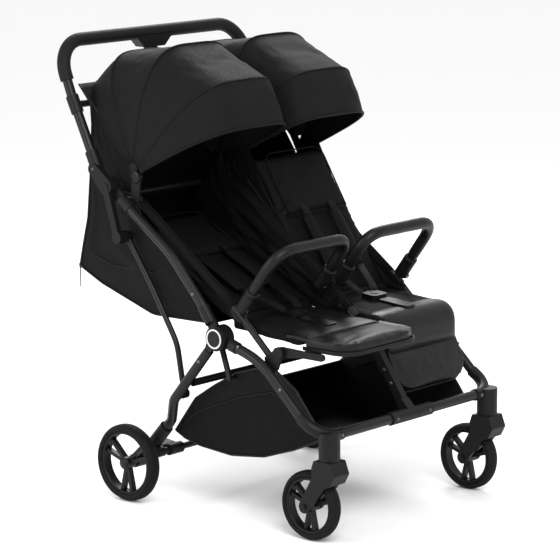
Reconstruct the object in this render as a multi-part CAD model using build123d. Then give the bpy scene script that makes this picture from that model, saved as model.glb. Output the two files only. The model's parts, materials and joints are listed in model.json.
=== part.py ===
from build123d import *
import os
from math import atan2, cos, hypot, radians, sin

# Side-by-side twin folding stroller, millimetres. x runs across, with the children's right at -x;
# y runs backwards from the caster stems; z runs up from the ground. The model is written out with
# its origin on the ground, ORIGIN_Y behind the caster stems and half-way across.
ORIGIN_Y = 410.25

# Frame tubes
TUBE_D = 24.0  # front tubes, side tubes, rear legs and handle
TUBE_WALL = 1.6
RAIL_D = 16.0  # seat rails
RAIL_WALL = 1.2
CROSS_D = 18.0  # cross tubes
FIT = 0.1  # clearance between a tube and the casting it sits in
RUN = 0.05  # radial clearance of a running fit
GAP = 0.4  # clearance between pieces that move past each other
SOCKET_D = 29.0  # casting round a frame tube
FRAME_X = 320.0  # side tubes, from the middle of the stroller

# Fold linkage, side view
HUB = (320.0, 441.0)  # rear leg pivot, with the front and side tubes
HUB_R = 30.0
HUB_CAP_R = 27.0
HUB_FACE_X = 334.0  # outer face of the rear leg's head
HUB_JOIN_X = 321.8  # where the leg's head turns on the housing
HUB_BACK_X = 299.0
PIVOT_R = 6.0  # pins of the hub, upper pivot and link joints
UPPER = (675.0, 763.0)  # handle pivot on the side tube
UPPER_R = 21.0
KNUCKLE = (637.0, 643.0)  # link joint on the handle's crank
LINK_PIN = (452.0, 284.0)  # link joint on the rear leg
CRANK_X = 331.5
CRANK_D = 19.0
LINK_X = 300.0
LINK_D = 14.0
LINK_EYE_R = 12.0

# Front end
STEM_X = 296.0
STEM_Z = 198.0  # joint between the stem housing and the caster
STEM_D = 50.0
STEM_PIN_D = 12.0
STEM_PIN_LEN = 34.0
FRONT_BAR = (4.0, 252.0)
CORNER_R = 58.0
CORNER_TO = (66.0, 291.0)  # where the corner moulding ends on the front tube
CORNER_X = 250.0  # where it ends on the crossbar
TEE_HALF = 75.0

# Wheels
FRONT_WHEEL_R = 82.5
FRONT_TYRE_W = 34.0
FRONT_RIM_R = 66.0
TRAIL = 54.0
REAR_WHEEL_R = 95.0
REAR_TYRE_W = 36.0
REAR_RIM_R = 77.0
REAR_WHEEL_X = 338.0
REAR_AXLE = (604.0, 95.0)
AXLE_D = 8.0
RIM_WALL = 5.0
RIM_W = 24.0
WHEEL_HUB_R = 15.0
SPOKE_W = 9.0
SPOKE_T = 14.0
FORK_ARM_T = 7.0
FORK_W = 54.0

# Rear legs, upper plane and lower plane
LEG_X = 325.0
LEG_FROM = 42.0  # distance of the tube's upper end from the hub
NECK_R = 11.0  # neck between the leg's head and its tube
LEG_LOW_X = 290.0
LEG_BEND = (462.0, 270.0)
LEG_KICK = (503.0, 208.0)
BRACKET_FROM = (520.0, 189.0)
BRACKET_D = 33.0
LEG_BAR = (412.0, 318.0)
FOOT_BAR = (545.0, 121.0)

# Seats
RAIL_X = 290.0
RAIL_LOW = (178.0, 405.0)
RAIL_KINK = (282.0, 500.0)
RAIL_TOP = (618.0, 741.0)
MID_RAIL_LOW = (168.0, 464.0)
MID_RAIL_TOP = (586.0, 765.0)
UPPER_BAR = (668.0, 738.0)
SEAT_IN = 14.0  # inner edge of each seat, from the middle
SEAT_OUT = 278.0
SEAT_FRONT = (96.0, 466.0)
SEAT_BACK = (318.0, 480.0)
SEAT_THICK = 24.0
SIT_R = 26.0  # corner radius of the cushions
BACK_HINGE = (322.0, 470.0)
BACK_TILT = 57.0  # upright backrest from the level, degrees
BACK_RECLINE = 32.0  # the right backrest is reclined by this, and the left one is upright
BACK_LONG = 395.0
BACK_THICK = 24.0
HEAD_LONG = 175.0
PAD_W = 42.0
PAD_LONG = 150.0
PAD_THICK = 9.0
LEGREST_HINGE = (150.0, 427.0)
LEGREST_LONG = 192.0
LEGREST_LONG_DOWN = 166.0
LEGREST_RISE = 43.0  # top of the pad above the hinge
LEGREST_THICK = 30.0
LEGREST_ROUND = 55.0
LEGREST_DROP = 65.0
HINGE_R = 14.0

# Bumper bars
BUMPER_D = 28.0
BUMPER_OUT = 292.0
BUMPER_IN = 34.0
BUMPER_LOW = (277.0, 503.0)
BUMPER_TOP = (163.0, 659.0)
BUMPER_R = 84.0
BUMPER_SOCKET_D = 34.0
BUMPER_SOCKET_LONG = 46.0
BUMPER_PLUG_D = 18.0
BUMPER_PLUG_LONG = 30.0
BUTTON_D = 13.0
BUTTON_TRAVEL = 2.0

# Canopies: bows turn about one axis across the stroller
CANOPY_AXIS = (604.0, 790.0)
CANOPY_R = 312.0
CANOPY_OUT = 314.0
CANOPY_IN = 6.0
CANOPY_THICK = 4.0
CANOPY_LEG = 34.0  # how near the axis the panels come
CANOPY_REAR_OUT = 302.0
CANOPY_EDGES = (27.0, 49.0, 82.0, 116.0, 134.0)  # visor edge, seam, bows, rear edge
CANOPY_SLIT = 0.5  # degrees between panels

# Fabric shell behind the seats, and the basket
SHELL_X = 286.0
SHELL_THICK = 3.0
BASKET_X = 268.0
BASKET_THICK = 3.0

# Handle
HANDLE_BEND = (801.0, 971.0)
HANDLE_TOP = (846.0, 1097.0)
HANDLE_CORNER_R = 78.0
HANDLE_BEND_R = 150.0
GRIP_D = 33.0
GRIP_FROM = 0.28  # share of the upper straight that is left bare
SLEEVE_TO = (736.0, 841.0)
BLOCK_TOP_W = 139.0
BLOCK_LOW_W = 62.0
BLOCK_DROP = 36.0
BLOCK_DEEP = 30.0
TRIGGER_W = 40.0
TRIGGER_DEEP = 14.0
TRIGGER_TRAVEL = 6.0
BRACE_AT = (790.0, 949.0)

os.makedirs("parts", exist_ok=True)
TO_ORIGIN = Pos(0, -ORIGIN_Y, 0)


def save(name, *solids):
    """Write one node. Each solid is a separate piece of it."""
    moved = [TO_ORIGIN * solid for piece in solids for solid in piece.solids()]
    export_step(Compound(children=moved), f"parts/{name}.step")


def both(piece):
    """The piece and its mirror image on the other side."""
    return [piece, mirror(piece, Plane.YZ)]


def at(x, spot):
    """A point x across, at a (y, z) spot of the side view."""
    return Vector(x, spot[0], spot[1])


def toward(start, end, distance):
    """The spot at a distance from start on the way to end."""
    dy, dz = end[0] - start[0], end[1] - start[1]
    share = distance / hypot(dy, dz)
    return (start[0] + share * dy, start[1] + share * dz)


def path_of(points, bends):
    """Straight runs joined by bends."""
    if len(points) == 2:
        return Line(*points)
    return FilletPolyline(*points, radius=bends)


def rod(points, bends, diameter):
    """A solid round bar along a path."""
    path = path_of(points, bends)
    return sweep(Plane(path @ 0, z_dir=path % 0) * Circle(diameter / 2), path)


def tube(points, bends, diameter, wall):
    """A round tube along a path."""
    path = path_of(points, bends)
    ring = Circle(diameter / 2) - Circle(diameter / 2 - wall)
    return sweep(Plane(path @ 0, z_dir=path % 0) * ring, path)


def drum(x_from, x_to, spot, radius):
    """A round solid along x, centred on a spot of the side view."""
    middle = (x_from + x_to) / 2
    return Location((middle, spot[0], spot[1]), (0, 90, 0)) * Cylinder(radius, abs(x_to - x_from))


def slab(x_from, x_to, outline):
    """A flat solid between two planes across, with a side-view outline."""
    face = make_face(Polyline(*[at(x_from, spot) for spot in outline], close=True))
    return extrude(face, amount=x_to - x_from, dir=(1, 0, 0))


def lozenge(x_from, x_to, start, end, start_r, end_r):
    """A flat arm with a round end at each of two spots."""
    run = hypot(end[0] - start[0], end[1] - start[1])
    lean = atan2(end[1] - start[1], end[0] - start[0])
    spread = (run**2 - (start_r - end_r) ** 2) ** 0.5
    open_by = atan2(spread, start_r - end_r)
    ends = ((start, start_r, 1), (end, end_r, 1), (end, end_r, -1), (start, start_r, -1))
    corners = []
    for spot, radius, side in ends:
        angle = lean + side * open_by
        corners.append((spot[0] + radius * cos(angle), spot[1] + radius * sin(angle)))
    body = slab(x_from, x_to, corners)
    return body + drum(x_from, x_to, start, start_r) + drum(x_from, x_to, end, end_r)


# ---- Front tubes, crossbar and centre leg ------------------------------------------------------

hub_front = toward(HUB, (190.0, 405.0), HUB_R + 14)
front_run = [at(-FRAME_X, hub_front), at(-FRAME_X, (190.0, 405.0)), at(-FRAME_X, CORNER_TO)]
corner_run = [
    at(-FRAME_X, CORNER_TO),
    at(-FRAME_X, FRONT_BAR),
    at(-CORNER_X, FRONT_BAR),
]
corner = rod(corner_run, [CORNER_R], SOCKET_D)
front_tube = tube(front_run, [200], TUBE_D, TUBE_WALL) - corner
stem_top = FRONT_BAR[1] + TUBE_D / 2
stem_housing = Pos(-STEM_X, 0, (STEM_Z + stem_top) / 2) * Cylinder(STEM_D / 2, stem_top - STEM_Z)
stem_bore_r = STEM_PIN_D / 2 + RUN
stem_bore = Pos(-STEM_X, 0, STEM_Z + STEM_PIN_LEN / 2) * Cylinder(stem_bore_r, STEM_PIN_LEN + 2)
corner = corner + stem_housing - stem_bore
crossbar_ends = [Vector(-CORNER_X + FIT, *FRONT_BAR), Vector(CORNER_X - FIT, *FRONT_BAR)]
tee_cut = rod(crossbar_ends, [], TUBE_D + 2 * FIT)
save("front_tubes", *both(front_tube))
save("front_corners", *both(corner))
save("front_crossbar", tube(crossbar_ends, [], TUBE_D, TUBE_WALL))

# The T casting clasps the crossbar. The centre leg, a flattened tube, rises from it to the rail.
leg_low = (24.0, 277.0)
leg_high = toward(MID_RAIL_LOW, (100.0, 384.0), -6)
tee = rod([Vector(-TEE_HALF, *FRONT_BAR), Vector(TEE_HALF, *FRONT_BAR)], [], SOCKET_D + 2)
tee = tee + lozenge(-13, 13, FRONT_BAR, leg_low, 15, 11) - tee_cut
leg_side = toward(leg_low, (100.0, 384.0), 12.5)
centre_leg = lozenge(-9, 9, leg_side, (100.0, 384.0), 11, 11)
centre_leg = centre_leg + lozenge(-9, 9, (100.0, 384.0), (152.0, 446.0), 11, 11)
centre_leg = centre_leg - lozenge(-13.2, 13.2, FRONT_BAR, leg_low, 15.2, 11.2)
save("centre_leg", tee, centre_leg)

# ---- Hub, side tubes and upper pivots ----------------------------------------------------------

side_points = [HUB, (372.0, 513.0), (475.0, 623.0), (643.0, 739.0)]
side_start = toward(HUB, side_points[1], HUB_R + 16)
side_end = toward(side_points[3], side_points[2], 22)
side_run = [at(-FRAME_X, s) for s in (side_start, side_points[1], side_points[2], side_end)]
side_tube = tube(side_run, [160, 260], TUBE_D, TUBE_WALL)
save("side_tubes", *both(side_tube))

head_room = drum(-FRAME_X - SOCKET_D, -HUB_JOIN_X + GAP / 2, HUB, LEG_FROM)
hub_up = rod([at(-FRAME_X, HUB), at(-FRAME_X, toward(HUB, side_points[1], 84))], [], SOCKET_D)
hub_on = rod([at(-FRAME_X, HUB), at(-FRAME_X, toward(HUB, (190.0, 405.0), 62))], [], SOCKET_D)
hub = drum(-HUB_JOIN_X + GAP, -HUB_BACK_X, HUB, HUB_R) + (hub_up + hub_on - head_room)
hub = hub - rod(side_run, [160, 260], TUBE_D + 2 * FIT)
hub = hub - rod(front_run, [200], TUBE_D + 2 * FIT)
hub = hub - drum(-HUB_JOIN_X - 5, -HUB_BACK_X + 5, HUB, PIVOT_R + RUN)
save("hub_housings", *both(hub))
hub_cap = drum(-HUB_FACE_X - 4, -HUB_FACE_X - FIT, HUB, HUB_CAP_R)
hub_cap = chamfer(hub_cap.edges().filter_by(GeomType.CIRCLE).group_by(Axis.X)[0], 1.5)
hub_pin = drum(-HUB_FACE_X - FIT, -HUB_BACK_X + 1, HUB, PIVOT_R)
save("hub_caps", *both(hub_cap + hub_pin))

upper_room = drum(-FRAME_X - SOCKET_D, -FRAME_X + 0.5, UPPER, 50.0)
upper_socket = rod([at(-FRAME_X, toward(side_points[3], side_points[2], 46)), at(-FRAME_X, UPPER)], [], SOCKET_D)
upper = (upper_socket - upper_room) + drum(-FRAME_X + 0.5, -FRAME_X + 15.5, UPPER, UPPER_R)
upper = upper - rod(side_run, [160, 260], TUBE_D + 2 * FIT)
upper = upper + lozenge(-FRAME_X + 4.5, -FRAME_X + 15.5, UPPER, UPPER_BAR, UPPER_R, CROSS_D / 2 + 4)
upper = upper - drum(-FRAME_X - 40, -FRAME_X + 40, UPPER, PIVOT_R + RUN)
upper = upper - drum(-FRAME_X - 2, -FRAME_X + 40, UPPER_BAR, CROSS_D / 2 + FIT)
save("upper_pivots", *both(upper))

# ---- Seat rails and cross tubes ----------------------------------------------------------------

rail_end = (UPPER_BAR[0] - CROSS_D / 2 - 0.3, RAIL_TOP[1] + 1.0)
outer_rail = [RAIL_LOW, RAIL_KINK, RAIL_TOP, rail_end]
rail = tube([at(-RAIL_X, s) for s in outer_rail], [45, 18], RAIL_D, RAIL_WALL)
mid_points = [at(0, MID_RAIL_LOW), at(0, MID_RAIL_TOP), Vector(0, UPPER_BAR[0] - CROSS_D / 2 - 0.9, UPPER_BAR[1])]
mid_rail = tube(mid_points, [25], RAIL_D, RAIL_WALL)
save("seat_rails", *both(rail), mid_rail)
bar_half = FRAME_X - 4.0
save("upper_cross_tube", tube([at(-bar_half, UPPER_BAR), at(bar_half, UPPER_BAR)], [], CROSS_D, RAIL_WALL))

# ---- Legrest brackets ---------------------------------------------------------------------------

plate_in = -RAIL_X - RAIL_D / 2 - 0.3
plate_out = plate_in - 7.7
plate_outline = [(136, 427), (150, 441), (190, 412), (188, 396), (172, 377), (152, 386)]
bracket = slab(plate_out, plate_in, plate_outline) + drum(plate_out, plate_in, LEGREST_HINGE, HINGE_R)
bracket = bracket - rod(front_run, [200], TUBE_D + 2 * FIT) - drum(-310, -290, LEGREST_HINGE, 4 + RUN)
hinge_lug = drum(-13.5, -9.2, LEGREST_HINGE, HINGE_R) - drum(-20, 0, LEGREST_HINGE, 4 + RUN)
save("legrest_brackets", *both(bracket), *both(hinge_lug))

# ---- Seat cushions ------------------------------------------------------------------------------

def cushion(x_from, x_to, outline, corner):
    """A padded block with a side-view outline and round corners at its long edges."""
    block = slab(x_from, x_to, outline)
    return fillet(block.edges().filter_by(Axis.X), min(corner, 8))


seat_outline = [
    SEAT_FRONT,
    (SEAT_BACK[0], SEAT_BACK[1]),
    (SEAT_BACK[0], SEAT_BACK[1] - SEAT_THICK),
    (SEAT_FRONT[0] + 10, SEAT_FRONT[1] - SEAT_THICK),
]
seat_pad = cushion(-SEAT_OUT, -SEAT_IN, seat_outline, 8)
save("seat_pads", *both(seat_pad))

# ---- Backrests, with harness pads ---------------------------------------------------------------

back_along = Vector(0, cos(radians(BACK_TILT)), sin(radians(BACK_TILT)))
back_out = Vector(0, -sin(radians(BACK_TILT)), cos(radians(BACK_TILT)))


def on_back(x, up, out):
    """A place on a backrest: up its length and out from its front face."""
    base = Vector(x, SEAT_BACK[0] - 14, SEAT_BACK[1] + 6)
    return base + back_along * up + back_out * out


def back_block(x_from, x_to, low, high, inner, outer):
    """A block lying along the backrest."""
    plane = Plane(on_back((x_from + x_to) / 2, (low + high) / 2, inner), x_dir=(1, 0, 0), z_dir=back_out)
    sheet = plane * Rectangle(abs(x_to - x_from), high - low)
    return extrude(sheet, amount=outer - inner)


def backrest(side):
    """Back panel and headrest of one seat."""
    panel = back_block(side * SEAT_IN, side * (SEAT_OUT - 8), 0, BACK_LONG, -BACK_THICK, 0)
    panel = fillet(panel.edges().filter_by(Axis.X), 9)
    panel = panel + drum(side * (SEAT_IN + 4), side * (SEAT_OUT - 12), BACK_HINGE, 3.4)
    lug_end = on_back(0, 14, -12)
    for x in (SEAT_IN + 24, SEAT_OUT - 44):
        panel = panel + lozenge(side * x, side * (x + 10), BACK_HINGE, (lug_end.Y, lug_end.Z), 3.4, 6)
    head_low = BACK_LONG - HEAD_LONG
    head = back_block(side * (SEAT_IN + 14), side * (SEAT_OUT - 22), head_low, BACK_LONG - 8, 0.3, 12.3)
    return panel, fillet(head.edges().filter_by(Axis.X), 5)


def harness(side):
    """Shoulder pads and lap pads of one seat."""
    middle = side * (SEAT_IN + SEAT_OUT - 8) / 2
    pads = []
    for across in (-50, 50):
        x = middle + across
        pads.append(back_block(x - PAD_W / 2, x + PAD_W / 2, 60, 60 + PAD_LONG, 0.3, 0.3 + PAD_THICK))
    return pads


to_hinge = Pos(0, *BACK_HINGE)
for side, word, recline in ((-1, "right", BACK_RECLINE), (1, "left", 0)):
    lean_back = to_hinge * Rot(-recline, 0, 0) * to_hinge.inverse()
    save(f"backrest_{word}", *[lean_back * piece for piece in backrest(side)])
    save(f"harness_{word}", *[lean_back * piece for piece in harness(side)])

# Buckles rest on the seat cushions, each with its crotch strap pad in front.
seat_lean = atan2(SEAT_BACK[1] - SEAT_FRONT[1], SEAT_BACK[0] - SEAT_FRONT[0])
buckle_y = 236.0
seat_mid = (SEAT_IN + SEAT_OUT) / 2
seat_top = SEAT_FRONT[1] + (buckle_y - SEAT_FRONT[0]) * sin(seat_lean) / cos(seat_lean)
buckle_plane = Plane(
    (-seat_mid, buckle_y, seat_top + 0.3), x_dir=(1, 0, 0), z_dir=(0, -sin(seat_lean), cos(seat_lean))
)
BUCKLE_T = 15.0
BUCKLE_BUTTON_R = 10.0
buckle = extrude(buckle_plane * RectangleRounded(54, 46, 12), amount=BUCKLE_T)
button_well = extrude(buckle_plane * Circle(BUCKLE_BUTTON_R + GAP), amount=BUCKLE_T + 1)
button_well = button_well - extrude(buckle_plane * Circle(BUCKLE_BUTTON_R + 2), amount=BUCKLE_T - 5)
crotch_pad = extrude(buckle_plane * Pos(0, -72) * RectangleRounded(40, 90, 12), amount=8)
save("buckles", *both(buckle - button_well), *both(crotch_pad))
buckle_cap = extrude(buckle_plane * Circle(BUCKLE_BUTTON_R), amount=BUCKLE_T + 1.5)
buckle_cap = buckle_cap - extrude(buckle_plane * Circle(BUCKLE_BUTTON_R + 2), amount=BUCKLE_T - 5 + BUTTON_TRAVEL + 0.6)
save("buckle_button_right", buckle_cap)
save("buckle_button_left", mirror(buckle_cap, Plane.YZ))

# ---- Legrests -----------------------------------------------------------------------------------

def legrest(side, long, drop):
    """Padded legrest on two hinge arms, raised level and then dropped by an angle."""
    tip = LEGREST_HINGE[0] - long
    top = LEGREST_HINGE[1] + LEGREST_RISE
    back = SEAT_FRONT[0] - 6
    width = RAIL_X - 6 - SEAT_IN
    middle = side * (RAIL_X - 6 + SEAT_IN) / 2
    outline = Pos(middle, (tip + back) / 2, top - LEGREST_THICK) * Rectangle(width, back - tip)
    front = outline.vertices().group_by(Axis.Y)[0]
    pad = extrude(fillet(front, LEGREST_ROUND), amount=LEGREST_THICK)
    arms = []
    for x in (side * (RAIL_X + 1), side * (SEAT_IN + 6)):
        half = 4.0
        under = [(back - 4, top - LEGREST_THICK - 9), (tip + 70, top - LEGREST_THICK - 8.4)]
        arm = lozenge(x - half, x + half, LEGREST_HINGE, under[0], HINGE_R - 1, 8)
        arm = arm + lozenge(x - half, x + half, *under, 8, 8)
        arms.append(arm)
    turn = Location((0, LEGREST_HINGE[0], LEGREST_HINGE[1])) * Location((0, 0, 0), (drop, 0, 0))
    turn = turn * Location((0, -LEGREST_HINGE[0], -LEGREST_HINGE[1]))
    outer_x, inner_x = side * (RAIL_X + 4.5), side * (SEAT_IN + 2.5)
    pins = [
        drum(outer_x, side * 306, LEGREST_HINGE, 4),
        drum(inner_x, side * 9.3, LEGREST_HINGE, 4),
    ]
    return [turn * piece for piece in (pad, arms[0] + pins[0], arms[1] + pins[1])]


save("legrest_right", *legrest(-1, LEGREST_LONG, 0))
save("legrest_left", *legrest(1, LEGREST_LONG_DOWN, LEGREST_DROP))

# ---- Bumper bars --------------------------------------------------------------------------------

bar_dir = (Vector(0, *BUMPER_TOP) - Vector(0, *BUMPER_LOW)).normalized()


def bumper_end(x, up):
    """A place on the line of a bumper bar's leg."""
    return at(x, BUMPER_LOW) + bar_dir * up


IN_LIFT = 26.0
SOCKET_FROM = 10.0
SOCKET_FOOT = [(262, 492), (284, 512), (300, 520), (304, 500), (290, 484), (272, 478)]
ring_up = SOCKET_FROM + BUMPER_SOCKET_LONG
for side, word in ((-1, "right"), (1, "left")):
    outer, inner = side * BUMPER_OUT, side * BUMPER_IN
    top_out, top_in = at(outer, BUMPER_TOP), at(inner, BUMPER_TOP)
    bow_path = [bumper_end(outer, ring_up + GAP), top_out, top_in, bumper_end(inner, ring_up + IN_LIFT + GAP)]
    bow = rod(bow_path, [BUMPER_R, BUMPER_R], BUMPER_D)
    plugs = []
    for x, lift in ((outer, 0), (inner, IN_LIFT)):
        top = ring_up + lift + GAP
        plugs.append(rod([bumper_end(x, top - BUMPER_PLUG_LONG), bumper_end(x, top + 1)], [], BUMPER_PLUG_D))
    save(f"bumper_{word}", bow + plugs[0] + plugs[1])

button_out = Vector(0, bar_dir.Z, -bar_dir.Y) * -1
sockets, buttons = [], []
for x, lift in ((-BUMPER_OUT, 0), (-BUMPER_IN, IN_LIFT)):
    low, high = bumper_end(x, SOCKET_FROM + lift), bumper_end(x, ring_up + lift)
    cup = rod([low, high], [], BUMPER_SOCKET_D)
    cup = cup - rod([high - bar_dir * (BUMPER_PLUG_LONG + 1), high + bar_dir], [], BUMPER_PLUG_D + 2 * RUN)
    well = low + bar_dir * 9 + button_out * (BUMPER_SOCKET_D / 2 - 6)
    cup = cup - rod([well, well + button_out * 12], [], BUTTON_D + 2 * GAP)
    if lift == 0:
        foot = slab(-BUMPER_OUT - 5, -SEAT_OUT - 0.3, SOCKET_FOOT)
        cup = cup + (foot - rod([low, high], [], BUMPER_SOCKET_D - 6))
        cup = cup - rod([at(-RAIL_X, s) for s in outer_rail], [45, 18], RAIL_D + 2 * FIT)
    else:
        lug_low = low + bar_dir * 4
        lug = Pos(-BUMPER_IN / 2, lug_low.Y + 4, lug_low.Z + 4) * Box(BUMPER_IN - 6, 16, 16)
        lug = lug - rod([low, high], [], BUMPER_SOCKET_D - 4)
        cup = cup + lug - rod(mid_points, [25], RAIL_D + 2 * FIT)
    sockets.append(cup)
    buttons.append(rod([well + button_out * (BUTTON_TRAVEL + 0.4), well + button_out * 9], [], BUTTON_D))
save("bumper_sockets", *both(sockets[0]), *both(sockets[1]))
save("bumper_buttons_right", *buttons)
save("bumper_buttons_left", *[mirror(b, Plane.YZ) for b in buttons])

# ---- Canopies -----------------------------------------------------------------------------------

def bow_outline(outer, inner, radius, low):
    """Face between the axis side and the outside of a canopy, in a plane through its axis."""
    width = outer - inner
    middle = -(outer + inner) / 2
    face = Pos(middle, (radius + low) / 2) * Rectangle(width, radius - low)
    tops = face.vertices().group_by(Axis.Y)[-1].sort_by(Axis.X)
    face = fillet(tops[0], 105)
    return fillet(face.vertices().group_by(Axis.Y)[-1].sort_by(Axis.X)[-1], 28)


def canopy_panel(start, end, outer, radius):
    """A curved shell between two angles about the canopy axis, counted up from the front."""
    skin = bow_outline(outer, CANOPY_IN, radius, CANOPY_LEG)
    core = bow_outline(outer - CANOPY_THICK, CANOPY_IN + CANOPY_THICK, radius - CANOPY_THICK, CANOPY_LEG - 9)
    face = Plane.XZ * (skin - core)
    slit = CANOPY_SLIT / 2
    shell = revolve(face, Axis.X, end - start - 2 * slit)
    first = Location((0, 0, 0), (90 - end + slit, 0, 0))
    return at_axis * first * shell


at_axis = Location((0, CANOPY_AXIS[0], CANOPY_AXIS[1]))
visor_at, seam_at, bow_2_at, bow_1_at, rear_at = CANOPY_EDGES
for side, word in ((-1, "right"), (1, "left")):
    parts = {
        "canopy_visor": canopy_panel(visor_at, seam_at, CANOPY_OUT, CANOPY_R),
        "canopy_top": canopy_panel(seam_at, bow_2_at, CANOPY_OUT, CANOPY_R),
        "canopy_mid": canopy_panel(bow_2_at, bow_1_at, CANOPY_OUT, CANOPY_R),
    }
    for name, piece in parts.items():
        save(f"{name}_{word}", piece if side < 0 else mirror(piece, Plane.YZ))
rear_panel = canopy_panel(bow_1_at, rear_at, CANOPY_REAR_OUT, CANOPY_R)
save("canopy_rears", *both(rear_panel))

# Hinge plates carry the canopies on the seat rails.
hinge_low = (CANOPY_AXIS[0] + 2, RAIL_TOP[1] - 6.0)
plate = lozenge(-RAIL_X - 14, -RAIL_X - 9, CANOPY_AXIS, hinge_low, 15, 11)
plate = plate + drum(-RAIL_X - 14, -RAIL_X + 2, hinge_low, 11)
plate = plate - rod([at(-RAIL_X, s) for s in outer_rail], [45, 18], RAIL_D + 2 * FIT)
strut_end = (CANOPY_AXIS[0] + 34, CANOPY_AXIS[1] + 49)
strut_in = -CANOPY_REAR_OUT + CANOPY_THICK + 0.3
plate = plate + lozenge(strut_in, strut_in + 5, CANOPY_AXIS, strut_end, 13, 8)
plate = plate + drum(-RAIL_X - 14, strut_in + 5, CANOPY_AXIS, 13)
mid_low = (CANOPY_AXIS[0] - 16, MID_RAIL_TOP[1])
mid_plate = lozenge(-4, 4, CANOPY_AXIS, mid_low, 15, 12)
mid_plate = mid_plate - rod(mid_points, [25], RAIL_D + 2 * FIT)
save("canopy_hinges", *both(plate), mid_plate)

# ---- Fabric shell behind the seats --------------------------------------------------------------

shell_outline = [
    (392, 499),
    (372, 462),
    (566, 457),
    (818, 545),
    (786, 669),
    (777, 764),
    (768, 930),
    (722, 886),
    (692, 800),
    (690, 727),
    (668, 728.5),
    (640, 712),
    (548, 648),
    (478, 594),
]
shell_inner = [
    (372, 520),
    (352, 466),
    (566, 460),
    (814, 547),
    (783, 668),
    (774, 764),
    (765, 935),
    (700, 935),
    (680, 800),
    (690, 734),
    (640, 726),
    (548, 668),
    (458, 602),
]
shell = slab(-SHELL_X, SHELL_X, shell_outline)
shell = shell - slab(-SHELL_X + SHELL_THICK, SHELL_X - SHELL_THICK, shell_inner)
save("fabric_shell", shell)

# ---- Basket -------------------------------------------------------------------------------------

basket_outline = [(205, 386), (318, 347), (446, 268), (514, 176), (430, 152), (330, 145), (227, 160), (40, 232), (62, 262), (128, 338)]
basket_inner = [(200, 400), (318, 352), (450, 276), (511, 177), (430, 155), (330, 148), (227, 163), (42, 234), (50, 300), (120, 380)]
basket = slab(-BASKET_X, BASKET_X, basket_outline)
basket = basket - slab(-BASKET_X + BASKET_THICK, BASKET_X - BASKET_THICK, basket_inner)
save("basket", basket)
stay_top, stay_foot = (345.0, 424.0), (316.0, 340.0)
stay = lozenge(-RAIL_X - 2, -RAIL_X + 6, stay_top, stay_foot, 6, 6)
stay = stay + drum(-HUB_BACK_X + GAP / 4, -RAIL_X - 1, stay_top, 5)
stay = stay + drum(-RAIL_X + 5, -BASKET_X - 0.3, stay_foot, 4.5)
save("basket_stays", *both(stay))

# ---- Handle -------------------------------------------------------------------------------------

arm_low = toward(KNUCKLE, HANDLE_BEND, 150)
arm = [at(-FRAME_X, arm_low), at(-FRAME_X, HANDLE_BEND), at(-FRAME_X - 6, HANDLE_TOP)]
loop = arm + [Vector(-p.X, p.Y, p.Z) for p in reversed(arm)]
handle_bends = [HANDLE_BEND_R, HANDLE_CORNER_R, HANDLE_CORNER_R, HANDLE_BEND_R]
save("handle_tube", tube(loop, handle_bends, TUBE_D, TUBE_WALL))
grip_start = arm[1] + (arm[2] - arm[1]) * GRIP_FROM
grip_points = [grip_start, arm[2], Vector(-arm[2].X, arm[2].Y, arm[2].Z), Vector(-grip_start.X, grip_start.Y, grip_start.Z)]
grip_path = path_of(grip_points, [HANDLE_CORNER_R, HANDLE_CORNER_R])
grip_ring = Circle(GRIP_D / 2) - Circle(TUBE_D / 2 + FIT)
grip = sweep(Plane(grip_path @ 0, z_dir=grip_path % 0) * grip_ring, grip_path)
save("handle_grip", grip)
ferrule_low = toward(HANDLE_BEND, arm_low, 46)
ferrule_high = toward(HANDLE_BEND, arm_low, 2)
ferrule = rod([at(-FRAME_X, ferrule_low), at(-FRAME_X, ferrule_high)], [], GRIP_D - 2)
ferrule = ferrule - rod([at(-FRAME_X, ferrule_low), at(-FRAME_X, HANDLE_BEND)], [], TUBE_D + 2 * FIT + 2)
save("handle_ferrules", *both(ferrule))

sleeve_low = toward(KNUCKLE, HANDLE_BEND, 164)
sleeve = rod([at(-FRAME_X, sleeve_low), at(-FRAME_X, SLEEVE_TO)], [], 32)
sleeve = sleeve - rod([at(-FRAME_X, toward(arm_low, HANDLE_BEND, -1)), at(-FRAME_X, HANDLE_BEND)], [], TUBE_D + 2 * FIT)
crank_in, crank_out = -FRAME_X - 0.6, -FRAME_X - 17.0
web = lozenge(crank_out, crank_in, UPPER, toward(sleeve_low, SLEEVE_TO, 12), UPPER_R, 15)
web = web - rod([at(-FRAME_X, toward(arm_low, HANDLE_BEND, -1)), at(-FRAME_X, HANDLE_BEND)], [], TUBE_D + 2 * FIT)
crank = lozenge(-CRANK_X - 7, -CRANK_X + 7, UPPER, KNUCKLE, 10, 9)
crank = crank + drum(-CRANK_X - 7, -LINK_X - LINK_D / 2 - GAP, KNUCKLE, 15)
upper_pin = drum(crank_in - 1, -FRAME_X + 18, UPPER, PIVOT_R)
handle_side = sleeve + web + crank + upper_pin
save("handle_sleeves", *both(handle_side))

brace_half = FRAME_X - 16.2
brace = tube([at(-brace_half, BRACE_AT), at(brace_half, BRACE_AT)], [], CROSS_D, RAIL_WALL)
save("handle_brace", brace)

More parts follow.
